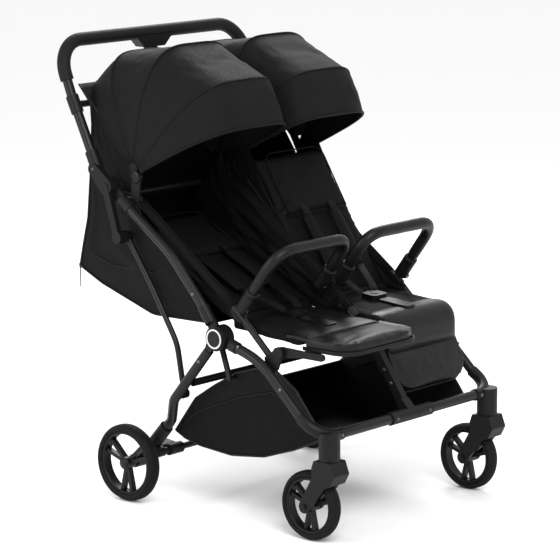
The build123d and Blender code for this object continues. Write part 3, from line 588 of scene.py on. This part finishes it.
def stuffed(name, solid, voxel, shrink, rise, seam_of, material, body, stands_for):
    """Swell a solid into a padded piece. seam_of(point) is 1 on a seam and 0 away from it."""
    bmesh.ops.recalc_face_normals(solid, faces=solid.faces)
    mesh = bpy.data.meshes.new(name)
    solid.to_mesh(mesh)
    solid.free()
    made = bpy.data.objects.new(name, mesh)
    bpy.context.scene.collection.objects.link(made)
    remesh = made.modifiers.new("remesh", "REMESH")
    remesh.mode = "VOXEL"
    remesh.voxel_size = voxel
    baked(made)
    for vert, normal in [(v, v.normal.copy()) for v in made.data.vertices]:
        vert.co -= normal * shrink
    rest = [v.co.copy() for v in made.data.vertices]
    held = made.vertex_groups.new(name="held")
    for index, point in enumerate(rest):
        held.add([index], min(1.0, seam_of(point)), "REPLACE")
    scene = bpy.context.scene
    cloth = made.modifiers.new("cloth", "CLOTH")
    cloth.settings.use_pressure = True
    cloth.settings.uniform_pressure_force = COVER_PRESSURE
    cloth.settings.vertex_group_mass = "held"
    cloth.settings.effector_weights.gravity = 0
    cloth.settings.quality = 4
    cloth.point_cache.frame_start = 1
    cloth.point_cache.frame_end = SETTLE_FRAMES
    for number in range(1, SETTLE_FRAMES + 1):
        scene.frame_set(number)
        bpy.context.view_layer.update()
    baked(made)
    scene.frame_set(1)
    for vert, start in zip(made.data.vertices, rest):
        moved = vert.co - start
        if moved.length > rise:
            vert.co = start + moved.normalized() * rise
    for vert in made.data.vertices:
        crease = noise.noise(vert.co * 26) * 0.0012 + noise.noise(vert.co * 70) * 0.0005
        vert.co += vert.normal * crease
    smooth = made.modifiers.new("round", "SUBSURF")
    smooth.levels = smooth.render_levels = 1
    for face in made.data.polygons:
        face.use_smooth = True
    made.data.materials.clear()
    made.data.materials.append(material)
    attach(made, body)
    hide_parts(*stands_for)
    return made


BACK_TILT = math.radians(57)
BACK_FOOT = place(0, 304, 486)
BACK_ALONG = Vector((0, math.cos(BACK_TILT), math.sin(BACK_TILT)))
BACK_OUT = Vector((0, -math.sin(BACK_TILT), math.cos(BACK_TILT)))
BACK_HINGE = place(0, 322, 470)
RECLINE = {"right": 32.0, "left": 0.0}


def leant(word):
    """The turn that reclines one backrest about its hinge."""
    turn = Matrix.Rotation(math.radians(-RECLINE[word]), 4, "X")
    return Matrix.Translation(BACK_HINGE) @ turn @ Matrix.Translation(-BACK_HINGE)


def near(distance, width):
    """1 at a line and 0 beyond width of it."""
    return max(0.0, 1 - abs(distance) / width)


def on_back(word, x, up, out):
    """A place on a backrest: across, up its length and out from its face, in millimetres."""
    upright = BACK_FOOT + Vector((x / 1000, 0, 0)) + BACK_ALONG * up / 1000 + BACK_OUT * out / 1000
    return leant(word) @ upright


SEAT_MIDDLE = 144
HEAD_SEAM = 218
for side, word in ((-1, "right"), (1, "left")):

    def seat_seams(point, side=side):
        across = point.x * side * 1000 - SEAT_MIDDLE - 2
        return max(near(abs(across) - 96, 5), near(point.y - place(0, 120, 0).y, 0.005))

    def back_seams(point, side=side, upright=leant(word).inverted()):
        across = point.x * side * 1000 - SEAT_MIDDLE + 2
        up = (upright @ point - BACK_FOOT).dot(BACK_ALONG) * 1000
        slot_line = near(abs(across) - 82, 5) if up < HEAD_SEAM - 4 else 0
        return max(slot_line, near(up - HEAD_SEAM, 5), near(up - 24, 5))

    stuffed(
        f"seat_cushion_{word}",
        copied_solids("seat_pads", lambda low, high, side=side: side * (low[0] + high[0]) > 0),
        0.006,
        0.003,
        0.011,
        seat_seams,
        seat_cloth,
        "frame",
        ["seat_pads"],
    )
    stuffed(
        f"backrest_cushion_{word}",
        copied_solids(f"backrest_{word}", lambda low, high: True),
        0.006,
        0.003,
        0.010,
        back_seams,
        seat_cloth,
        f"backrest_{word}",
        [f"backrest_{word}"],
    )
    piping = bmesh.new()
    left, right = side * (SEAT_MIDDLE - 108), side * (SEAT_MIDDLE + 104)
    corners = ((left, HEAD_SEAM, 12), (left, 384, 15), (right, 384, 15), (right, HEAD_SEAM, 12))
    loop = [on_back(word, *corner) for corner in corners]
    swept(piping, rounded(loop, 0.03, 6), 0.0018, 8)
    swept(piping, [loop[0], (loop[0] + loop[3]) / 2, loop[3]], 0.0018, 8)
    piece(f"headrest_piping_{word}", piping, seat_cloth, f"backrest_{word}")

# ---- Seat wings ----------------------------------------------------------------------------
# Unpadded cloth wings close each seat at its sides, from the rail to the edge of the backrest,
# and a soft roll closes the crease between cushion and backrest. The wings fold as it reclines.
wing_cloth = finish_of(
    "wing_cloth",
    (0.0022, 0.0022, 0.0025),
    0.6,
    weave,
    {"Scale": 170.0, "Depth": 0.0003},
    spread=0.5,
    Specular_IOR_Level=0.08,
)
OUTER_RAIL = [(250, 486), (282, 505), (450, 628), (618, 748), (600, 810), (575, 872)]
INNER_RAIL = [(215, 506), (282, 552), (450, 673), (580, 768), (596, 810), (575, 872)]
BACK_EDGE = [(252, 470), (306, 476), (360, 556), (420, 648), (480, 740), (534, 840)]


def walked(points, share):
    """The point at a share of the way along a run of (y, z) points."""
    lengths = [math.dist(a, b) for a, b in zip(points, points[1:])]
    left = share * sum(lengths)
    for (a, b), length in zip(zip(points, points[1:]), lengths):
        if left <= length or b is points[-1]:
            t = min(1.0, left / length)
            return (a[0] + (b[0] - a[0]) * t, a[1] + (b[1] - a[1]) * t)
        left -= length
    return points[-1]


def cloth_grid(across_steps, down_steps, spot_of, folds, seed):
    """A grid of cloth at spot_of(u, v), slack by folds metres away from its edges."""
    cloth = bmesh.new()
    bmesh.ops.create_grid(cloth, x_segments=across_steps, y_segments=down_steps, size=1.0)
    for vert in cloth.verts:
        u, v = (vert.co.x + 1) / 2, (vert.co.y + 1) / 2
        spot, out = spot_of(u, v)
        slack = (math.sin(math.pi * min(1, max(0, u))) * math.sin(math.pi * min(1, max(0, v)))) ** 0.5
        wave = noise.noise(Vector((u * 5, v * 5, seed))) + 0.4 * noise.noise(
            Vector((u * 13, v * 11, seed + 9))
        )
        vert.co = spot + out * folds * slack * wave
    return cloth


def thickened(made, thick, offset):
    """Give a sheet of cloth its thickness and shade it smooth."""
    layer = made.modifiers.new("cloth", "SOLIDIFY")
    layer.thickness = thick
    layer.offset = offset
    baked(made)
    for face in made.data.polygons:
        face.use_smooth = True


def wing_of(side, word, rail, rail_x, edge_x):
    """Where a wing's cloth lies: along the rail by u, and from the rail to the backrest by v."""
    edge = BACK_EDGE[:2]
    for y, z in BACK_EDGE[2:]:
        leaning = (leant(word) @ place(0, y, z) - place(0, 0, 0)) * 1000
        edge.append((leaning.y, leaning.z))

    def spot_of(u, v):
        out, back = walked(rail, u), walked(edge, u)
        y, z = out[0] + (back[0] - out[0]) * v, out[1] + (back[1] - out[1]) * v
        return place(side * (rail_x + (edge_x - rail_x) * v), y, z), Vector((-side, 0, 0))

    return spot_of


for side, word in ((-1, "right"), (1, "left")):
    for name, rail, rail_x, edge_x in (("outer", OUTER_RAIL, 284, 272), ("inner", INNER_RAIL, 10, 18)):
        cloth = cloth_grid(60, 24, wing_of(side, word, rail, rail_x, edge_x), 0.009, side + rail_x)
        wing = piece(f"seat_wing_{name}_{word}", cloth, wing_cloth, None)
        thickened(wing, 0.0014, -1.0)
        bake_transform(wing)
    crease = bmesh.new()
    swept(crease, [place(side * x, 306, 476) for x in range(18, 273, 12)], 0.0125, 16)
    piece(f"seat_crease_{word}", crease, seat_cloth, "frame")
    sleeve = bmesh.new()
    rail_line = [
        place(side * 290, *spot)
        for spot in ((300, 513), (360, 556), (450, 620.5), (540, 685), (596, 725))
    ]
    swept(sleeve, rail_line, 0.0098, 20)
    piping_line = [point + Vector((side * -0.004, -0.005, 0.0085)) for point in rail_line]
    swept(sleeve, piping_line, 0.0022, 8)
    piece(f"rail_sleeve_{word}", sleeve, seat_cloth, "frame")
mid_sleeve = bmesh.new()
mid_line = [place(0, 190 + 380 * t / 8, 480 + 274 * t / 8) for t in range(9)]
swept(mid_sleeve, mid_line, 0.0102, 20)
for x in (-0.006, 0.006):
    swept(mid_sleeve, [point + Vector((x, -0.005, 0.008)) for point in mid_line], 0.0022, 8)
piece("middle_rail_sleeve", mid_sleeve, seat_cloth, "frame")

# ---- Harness -------------------------------------------------------------------------------
# Five-point harness: woven straps through slots in the backrest, foam shoulder pads sleeved
# over them, and a crotch strap. The straps meet at the moulded buckle on the seat.
webbing = finish_of(
    "webbing",
    (0.0033, 0.0033, 0.0036),
    0.65,
    weave,
    {"Scale": 240.0, "Depth": 0.0003},
    spread=0.4,
    Specular_IOR_Level=0.10,
)


def strap(mesh_to, line, width, thick):
    """A flat strap along a line, as a bar of square rings squeezed to its thickness."""
    swept(mesh_to, line, width / 2, 12, thick / width)


for side, word in ((-1, "right"), (1, "left")):
    middle = side * (SEAT_MIDDLE - 2)
    pads = bmesh.new()
    for across in (-50, 50):
        line = [
            on_back(word, middle + across, up, 15 + 3 * math.sin(math.pi * (up - 60) / 150))
            for up in range(60, 211, 10)
        ]
        radii = [
            0.0205 * (0.72 + 0.28 * math.sin(math.pi * (i + 0.5) / len(line)) ** 0.4)
            for i in range(len(line))
        ]
        swept(pads, line, radii, 18, 0.36)
    pad = piece(f"shoulder_pads_{word}", pads, seat_cloth, f"backrest_{word}", [f"harness_{word}"])
    straps = bmesh.new()
    for across in (-50, 50):
        top = [on_back(word, middle + across, up, out) for up, out in ((262, 12.5), (250, 17), (200, 19))]
        strap(straps, top, 0.026, 0.0022)
    piece(f"shoulder_straps_{word}", straps, webbing, f"backrest_{word}")
    lap = bmesh.new()
    for across in (-1, 1):
        start = on_back(word, middle + across * 50, 64, 17)
        route = [start, place(middle + across * 34, 268, 505), place(middle + across * 24, 250, 492)]
        strap(lap, rounded(route, 0.02, 5), 0.025, 0.0022)
    lap_straps = piece(f"lower_straps_{word}", lap, webbing, None)
    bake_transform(lap_straps)

# ---- Legrests ------------------------------------------------------------------------------
# A padded board sleeved in leatherette with a rounded front edge and a piped rim, on two
# moulded arms with friction hinges. One is raised and the other one hangs.
LEG_PIVOT = Vector(pivots["legrest_right_tilt"]["pos_m"])


def wide(low, high):
    """True for the box of a legrest's pad, false for an arm's."""
    return high[0] - low[0] > 0.1


for side, word, drop in ((-1, "right", 0.0), (1, "left", 65.0)):
    settle = Matrix.Translation(LEG_PIVOT) @ Matrix.Rotation(math.radians(-drop), 4, "X")
    settle = settle @ Matrix.Translation(-LEG_PIVOT)

    def pad_seams(point, settle=settle, side=side):
        local = settle @ point
        across = local.x * side * 1000
        ahead = (local.y - LEG_PIVOT.y) * 1000
        return max(near(across - 30, 4), near(across - 268, 4), near(ahead + 78, 4) * 0.8)

    stuffed(
        f"legrest_pad_{word}",
        copied_solids(f"legrest_{word}", wide),
        0.005,
        0.003,
        0.008,
        pad_seams,
        leatherette,
        f"legrest_{word}",
        [f"legrest_{word}"],
    )
    arms = copied_solids(f"legrest_{word}", lambda low, high: not wide(low, high))
    piece(f"legrest_arms_{word}", arms, nylon, f"legrest_{word}", smooth=False)
    rim = bmesh.new()
    tip = -192 if drop == 0 else -166
    back = -60 if drop == 0 else -50
    flat_rim = [(14, back), (14, tip), (284, tip), (284, back)]
    for lift in (15.5, 19.5):
        loop = []
        for across, ahead in flat_rim:
            point = LEG_PIVOT + Vector((side * across / 1000, ahead / 1000, lift / 1000))
            point.x = side * across / 1000
            loop.append(settle.inverted() @ point)
        swept(rim, rounded(loop, 0.055, 10), 0.0028, 10)
    piece(f"legrest_rim_{word}", rim, nylon, f"legrest_{word}")

# ---- Legrest aprons ------------------------------------------------------------------------
# The leatherette of each legrest runs on over the front of the seat as a padded apron, which
# rolls over the seat's edge when the legrest hangs. A seam crosses it above the board.


def slab_along(mesh_to, line, half_width, thick, middle_x):
    """A padded slab along a line: rounded-square rings, wide across and thin through."""
    loops = []
    for index, point in enumerate(line):
        before, after = line[max(index - 1, 0)], line[min(index + 1, len(line) - 1)]
        along = (after - before).normalized()
        over = along.cross(Vector((1, 0, 0))).normalized()
        ring = bmesh.ops.create_circle(mesh_to, segments=56, radius=1.0)["verts"]
        for vert in ring:
            turn = math.atan2(vert.co.y, vert.co.x)
            wide = math.copysign(abs(math.cos(turn)) ** 0.28, math.cos(turn)) * half_width
            high = math.copysign(abs(math.sin(turn)) ** 0.6, math.sin(turn)) * thick / 2
            ripple = noise.noise(Vector((wide * 22, point.y * 22, point.z * 22))) * 0.0012
            vert.co = point + Vector((middle_x + wide, 0, 0)) + over * (high + ripple)
        loops.append(list({e for v in ring for e in v.link_edges}))
    for low, high in zip(loops, loops[1:]):
        bmesh.ops.bridge_loops(mesh_to, edges=low + high)
    for loop in (loops[0], loops[-1]):
        bmesh.ops.contextual_create(mesh_to, geom=loop)


APRON = {
    "right": [(152, 462), (136, 463), (112, 463), (92, 462), (78, 460)],
    "left": [(152, 461), (132, 463), (112, 459), (98, 447), (92, 430), (91, 410), (90, 378)],
}
for side, word in ((-1, "right"), (1, "left")):
    route = rounded([place(0, y, z) for y, z in APRON[word]], 0.02, 4)
    apron = bmesh.new()
    slab_along(apron, route, 0.129, 0.019, side * 0.149)
    flap = piece(f"legrest_apron_{word}", apron, leatherette, None)
    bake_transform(flap)

# ---- Canopies ------------------------------------------------------------------------------
# Each hood is one run of melange polyester over three wire bows and a stiff visor. Panels are
# sewn at the bows with piping, stay taut along the bows and sag a little between them.
canopy_cloth = finish_of(
    "canopy_cloth",
    (0.0058, 0.0058, 0.0065),
    0.62,
    weave,
    {"Scale": 150.0, "Depth": 0.0003},
    spread=0.45,
    Specular_IOR_Level=0.08,
)
HOOD_AXIS = Vector(pivots["canopy_right_fold"]["pos_m"])
VISOR_AT, SEAM_AT, TOP_BOW_AT, REAR_BOW_AT, REAR_AT = 27, 49, 82, 116, 134
HOOD_LOW = 36.0
HOOD_OUT, HOOD_NARROWING = 319, 21
HOOD_IN = 7.0
HOOD_CREST, VISOR_DROP, REAR_DROP = 312, 30, 10
INNER_WIDTH_POWER, OUTER_WIDTH_POWER = 2 / 5.5, 2 / 2.9
INNER_RISE_POWER, OUTER_RISE_POWER = 2 / 4.6, 2 / 3.1


def eased(value, low, high):
    """0 below low, 1 above high, and smooth between."""
    t = min(1.0, max(0.0, (value - low) / (high - low)))
    return t * t * (3 - 2 * t)


def hood_point(side, along, angle, tuck=0.0):
    """A place on a hood: along its bow from 0 at the middle to 1 outside, and round the axis."""
    outer = HOOD_OUT - HOOD_NARROWING * eased(angle, 80, 120)
    inner = HOOD_IN
    crest = HOOD_CREST - VISOR_DROP * (1 - eased(angle, 22, 52)) - REAR_DROP * eased(angle, 112, 140)
    phi = math.pi * along
    lean = math.cos(phi)
    power = INNER_WIDTH_POWER if lean > 0 else OUTER_WIDTH_POWER
    across = (outer + inner) / 2 - (outer - inner) / 2 * math.copysign(abs(lean) ** power, lean)
    rise = abs(math.sin(phi)) ** (INNER_RISE_POWER if lean > 0 else OUTER_RISE_POWER)
    radius = HOOD_LOW + (crest - HOOD_LOW) * rise - tuck * rise
    turn = math.radians(angle)
    ahead = Vector((0, -math.cos(turn), math.sin(turn)))
    return Vector((side * across / 1000, HOOD_AXIS.y, HOOD_AXIS.z)) + ahead * radius / 1000


def hood_panel(name, side, start, end, sag, body, nodes_hidden):
    """One panel between two bows, as a grid laid round the axis, with thickness."""
    cloth = bmesh.new()
    bmesh.ops.create_grid(cloth, x_segments=72, y_segments=22, size=1.0)
    for vert in cloth.verts:
        along, share = (vert.co.x + 1) / 2, (vert.co.y + 1) / 2
        angle = start + (end - start) * share
        tuck = sag * math.sin(math.pi * share) ** 0.8
        spot = hood_point(side, along, angle, tuck)
        pull = math.sin(math.pi * share)
        fold = noise.noise(Vector((along * 14, angle / 9.0, side * 3.0))) * 0.0032 * pull
        fold += noise.noise(Vector((along * 34, angle / 4.0, side * 7.0))) * 0.001 * pull
        out = (spot - Vector((side * 0.16, HOOD_AXIS.y, HOOD_AXIS.z))).normalized()
        vert.co = spot + out * fold
    made = piece(name, cloth, canopy_cloth, None, nodes_hidden)
    thickened(made, 0.0016, 0.0)
    if isinstance(body, str):
        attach(made, body)
    else:
        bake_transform(made)
    return made


def hood_piping(name, side, angles, radius, body, span=(0.0, 1.0)):
    """Piping sewn over the bows at some angles."""
    cord_run = bmesh.new()
    for angle in angles:
        steps = [span[0] + (span[1] - span[0]) * i / 90 for i in range(91)]
        swept(cord_run, [hood_point(side, s, angle, -0.6) for s in steps], radius, 8)
    return piece(name, cord_run, canopy_cloth, body)


for side, word in ((-1, "right"), (1, "left")):
    hood_panel(f"hood_rear_{word}", side, REAR_BOW_AT, REAR_AT + 2, 2.0, "frame", ["canopy_rears"])
    mid, top, visor = (f"canopy_{part}_{word}" for part in ("mid", "top", "visor"))
    hood_panel(f"hood_back_{word}", side, TOP_BOW_AT, REAR_BOW_AT, 17.0, ("frame", mid), [mid])
    hood_panel(f"hood_front_{word}", side, SEAM_AT, TOP_BOW_AT, 16.0, (mid, top), [top])
    hood_panel(f"hood_visor_{word}", side, VISOR_AT, SEAM_AT, 1.5, (top, visor), [visor])
    hood_piping(f"hood_piping_rear_{word}", side, [REAR_BOW_AT, REAR_AT + 2], 0.0024, "frame")
    hood_piping(f"hood_piping_back_{word}", side, [TOP_BOW_AT], 0.0026, mid)
    hood_piping(f"hood_piping_front_{word}", side, [SEAM_AT], 0.0022, top)
    hood_piping(f"hood_piping_visor_{word}", side, [VISOR_AT], 0.0034, visor)
    hinge = bmesh.new()
    cover = [(0, 3.2), (9, 3.0), (14, 2.0), (16, 0), (16, -3), (0, -3)]
    spot = Vector((side * 0.3055, HOOD_AXIS.y, HOOD_AXIS.z))
    turned_piece(hinge, cover, facing(spot, Vector((side, 0, 0))), 36)
    piece(f"hood_hinge_cover_{word}", hinge, satin_cap, "frame")

# ---- Fabric shell behind the seats ---------------------------------------------------------
# The backs and the boot share one sewn shell: side walls on the seat rails, a floor and a rear
# wall that hang from them. The cloth is slack and falls into shallow folds.
shell_cloth = finish_of(
    "shell_cloth",
    (0.0044, 0.0044, 0.005),
    0.6,
    weave,
    {"Scale": 170.0, "Depth": 0.00025},
    spread=0.5,
    Specular_IOR_Level=0.09,
)


def cloth_piece(name, parts, material, body, thick, hidden):
    """Join grids into one sewn piece and give the cloth its thickness."""
    whole = bmesh.new()
    for part in parts:
        scrap = bpy.data.meshes.new("scrap")
        part.to_mesh(scrap)
        part.free()
        whole.from_mesh(scrap)
        bpy.data.meshes.remove(scrap)
    bmesh.ops.remove_doubles(whole, verts=whole.verts, dist=0.0008)
    made = piece(name, whole, material, None, hidden)
    thickened(made, thick, 0.0)
    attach(made, body)
    return made


SHELL_HALF = 284
SHELL_FRONT = [
    (372, 463), (392, 499), (478, 594), (548, 648), (606, 700),
    (618, 790), (650, 835), (760, 945), (812, 994),
]
SHELL_BACK = [
    (372, 463), (566, 458), (740, 512), (816, 546), (801, 610),
    (786, 669), (777, 764), (768, 900), (772, 950), (812, 994),
]


def shell_wall(side):
    def spot_of(u, v):
        front, back = walked(SHELL_FRONT, u), walked(SHELL_BACK, u)
        y, z = front[0] + (back[0] - front[0]) * v, front[1] + (back[1] - front[1]) * v
        return place(side * SHELL_HALF, y, z), Vector((-side, 0, 0))

    return spot_of


def shell_back(u, v):
    y, z = walked(SHELL_BACK, v)
    before, after = walked(SHELL_BACK, max(0, v - 0.02)), walked(SHELL_BACK, min(1, v + 0.02))
    away = Vector((0, before[1] - after[1], after[0] - before[0])).normalized()
    return place(-SHELL_HALF + 2 * SHELL_HALF * u, y, z), away


walls = [cloth_grid(60, 30, shell_wall(side), 0.006, 3.0 + side) for side in (-1, 1)]
back_wall = cloth_grid(70, 60, shell_back, 0.008, 11.0)
cloth_piece(
    "seat_shell",
    walls + [back_wall],
    shell_cloth,
    "frame",
    0.0016,
    ["fabric_shell"],
)
shell_hems = bmesh.new()
for side in (-1, 1):
    for run in (SHELL_FRONT, SHELL_BACK):
        line = [place(side * (SHELL_HALF + 1), *walked(run, i / 60)) for i in range(61)]
        swept(shell_hems, line, 0.0022, 8)
for side in (-1, 1):
    panel_seam = [(478, 594), (560, 560), (700, 560), (806, 588)]
    line = [place(side * (SHELL_HALF + 0.8), *walked(panel_seam, i / 30)) for i in range(31)]
    swept(shell_hems, line, 0.0013, 8)
piece("shell_hems", shell_hems, leatherette, "frame")

# ---- Zip pull ------------------------------------------------------------------------------
# The boot closes with a zip at its rear corner. A short cord loop hangs from the slider.
pull = bmesh.new()
slider = place(-SHELL_HALF - 3, 815, 552)
swept(pull, [slider, slider + Vector((0, -0.003, -0.012))], 0.0035, 10, 0.5)
piece("zip_slider", pull, steel, "frame")
tail = bmesh.new()
PULL_LENGTH = 0.045
tail_line = [
    slider + Vector((-0.001 - 0.002 * t, -0.003, -0.012 - PULL_LENGTH * t))
    for t in (0, 0.25, 0.5, 0.75, 1)
]
swept(tail, tail_line, 0.0014, 8)
piece("zip_pull_cord", tail, webbing, "frame")

# ---- Basket --------------------------------------------------------------------------------
# An open basket of knitted mesh with a plain cloth band along its upper edge, hung from the
# rails by its band. The loaded shape sags: its floor bellies between the hems.


def meshed(group, place_from, given):
    cells = group.nodes.new("ShaderNodeTexVoronoi")
    cells.feature = "DISTANCE_TO_EDGE"
    group.links.new(place_from, cells.inputs["Vector"])
    group.links.new(given["Scale"], cells.inputs["Scale"])
    threads = mathed(group, "LESS_THAN", cells.outputs["Distance"], 0.16)
    return threads, mathed(group, "MULTIPLY", threads, 0.9)


net = finish_of(
    "basket_net",
    (0.0039, 0.0039, 0.0044),
    0.8,
    effect("meshed", {"Scale": 260.0, "Depth": 0.0006}, meshed),
    {"Scale": 240.0},
    spread=0.75,
    Specular_IOR_Level=0.10,
)
BASKET_HALF = 266
RIM = [(44, 234), (66, 264), (128, 337), (205, 384), (318, 346), (384, 308), (446, 267), (512, 178)]
KEEL = [(44, 234), (132, 194), (227, 161), (330, 147), (430, 153), (480, 163), (512, 178)]
REAR_WALL = [(44, 234), (132, 194), (227, 161), (330, 147), (430, 153), (512, 178), (482, 222), (446, 267)]


def basket_wall(side, low, high):
    def spot_of(u, v):
        share = low + (high - low) * v
        rim, keel = walked(RIM, u), walked(KEEL, u)
        y, z = rim[0] + (keel[0] - rim[0]) * share, rim[1] + (keel[1] - rim[1]) * share
        belly = 6 * math.sin(math.pi * u) * math.sin(math.pi * share)
        return place(side * (BASKET_HALF - belly), y, z), Vector((-side, 0, 0))

    return spot_of


def basket_floor(u, v):
    y, z = walked(REAR_WALL, v)
    sag = 5 * math.sin(math.pi * u) * math.sin(math.pi * min(1.0, v / 0.8)) if v < 0.8 else 0
    return place(-BASKET_HALF + 2 * BASKET_HALF * u, y, z + sag * 0.4), Vector((0, 0, 1))


BAND = 0.3
bands = [cloth_grid(60, 8, basket_wall(side, 0.0, BAND), 0.001, side) for side in (-1, 1)]
cloth_piece("basket_band", bands, shell_cloth, "frame", 0.0018, [])
nets = [cloth_grid(60, 20, basket_wall(side, BAND, 1.0), 0.003, 5.0 + side) for side in (-1, 1)]
floor_net = cloth_grid(60, 50, basket_floor, 0.004, 17.0)
cloth_piece("basket_net", nets + [floor_net], net, "frame", 0.0012, ["basket"])
hems = bmesh.new()
for side in (-1, 1):
    for spot_of, v in (
        (basket_wall(side, 0, 1), 0.0),
        (basket_wall(side, 0, 1), BAND),
        (basket_wall(side, 0, 1), 1.0),
    ):
        line = [spot_of(i / 70, v)[0] + Vector((side * 0.001, 0, 0)) for i in range(71)]
        swept(hems, line, 0.0016 if v == BAND else 0.0026, 8)
front_line = [place(x, 44, 234) for x in range(-266, 267, 38)]
rear_line = [place(x, 446, 267) for x in range(-266, 267, 38)]
swept(hems, front_line, 0.003, 8)
swept(hems, rear_line, 0.003, 8)
piece("basket_hems", hems, leatherette, "frame")

# ---- Studio --------------------------------------------------------------------------------
# A pale floor that reaches far behind the stroller, one large soft key light, a fill and a
# rim light, and a long lens at eye height some way off.
floor_mesh = bmesh.new()
bmesh.ops.create_grid(floor_mesh, x_segments=1, y_segments=1, size=30.0)
floor_data = bpy.data.meshes.new("floor")
floor_mesh.to_mesh(floor_data)
floor_mesh.free()
floor = bpy.data.objects.new("floor", floor_data)
bpy.context.scene.collection.objects.link(floor)
pale = bpy.data.materials.new("pale_floor")
pale.use_nodes = True
pale.node_tree.nodes["Principled BSDF"].inputs["Base Color"].default_value = (0.93, 0.93, 0.93, 1)
pale.node_tree.nodes["Principled BSDF"].inputs["Roughness"].default_value = 0.9
floor_data.materials.append(pale)

world = bpy.data.worlds.new("studio")
bpy.context.scene.world = world
world.use_nodes = True
world.node_tree.nodes["Background"].inputs["Color"].default_value = (1.0, 1.0, 1.0, 1)
world.node_tree.nodes["Background"].inputs["Strength"].default_value = 1.0
bpy.context.scene.view_settings.view_transform = "Standard"


def soft_light(name, spot, aim, size, power):
    """A square area light at a spot, turned to its aim."""
    data = bpy.data.lights.new(name, "AREA")
    data.size = size
    data.energy = power
    lamp = bpy.data.objects.new(name, data)
    lamp.location = spot
    lamp.rotation_euler = (Vector(aim) - Vector(spot)).to_track_quat("-Z", "Y").to_euler()
    bpy.context.scene.collection.objects.link(lamp)


soft_light("key", (-2.2, -3.0, 3.4), (0, 0, 0.5), 2.2, 150)
soft_light("fill", (-3.6, 1.4, 1.8), (0, 0, 0.6), 2.0, 60)
soft_light("rim", (2.6, 2.2, 3.0), (0, 0, 0.8), 1.6, 90)

camera_data = bpy.data.cameras.new("camera")
camera_data.lens = 174.3
camera_data.sensor_width = 36.0
camera = bpy.data.objects.new("camera", camera_data)
bpy.context.scene.collection.objects.link(camera)
camera.location = place(-4854.48, -3889.56, 1794.54)
aim = place(-1.1, 411.9, 520.2)
camera.rotation_euler = (aim - camera.location).to_track_quat("-Z", "Y").to_euler()
bpy.context.scene.camera = camera
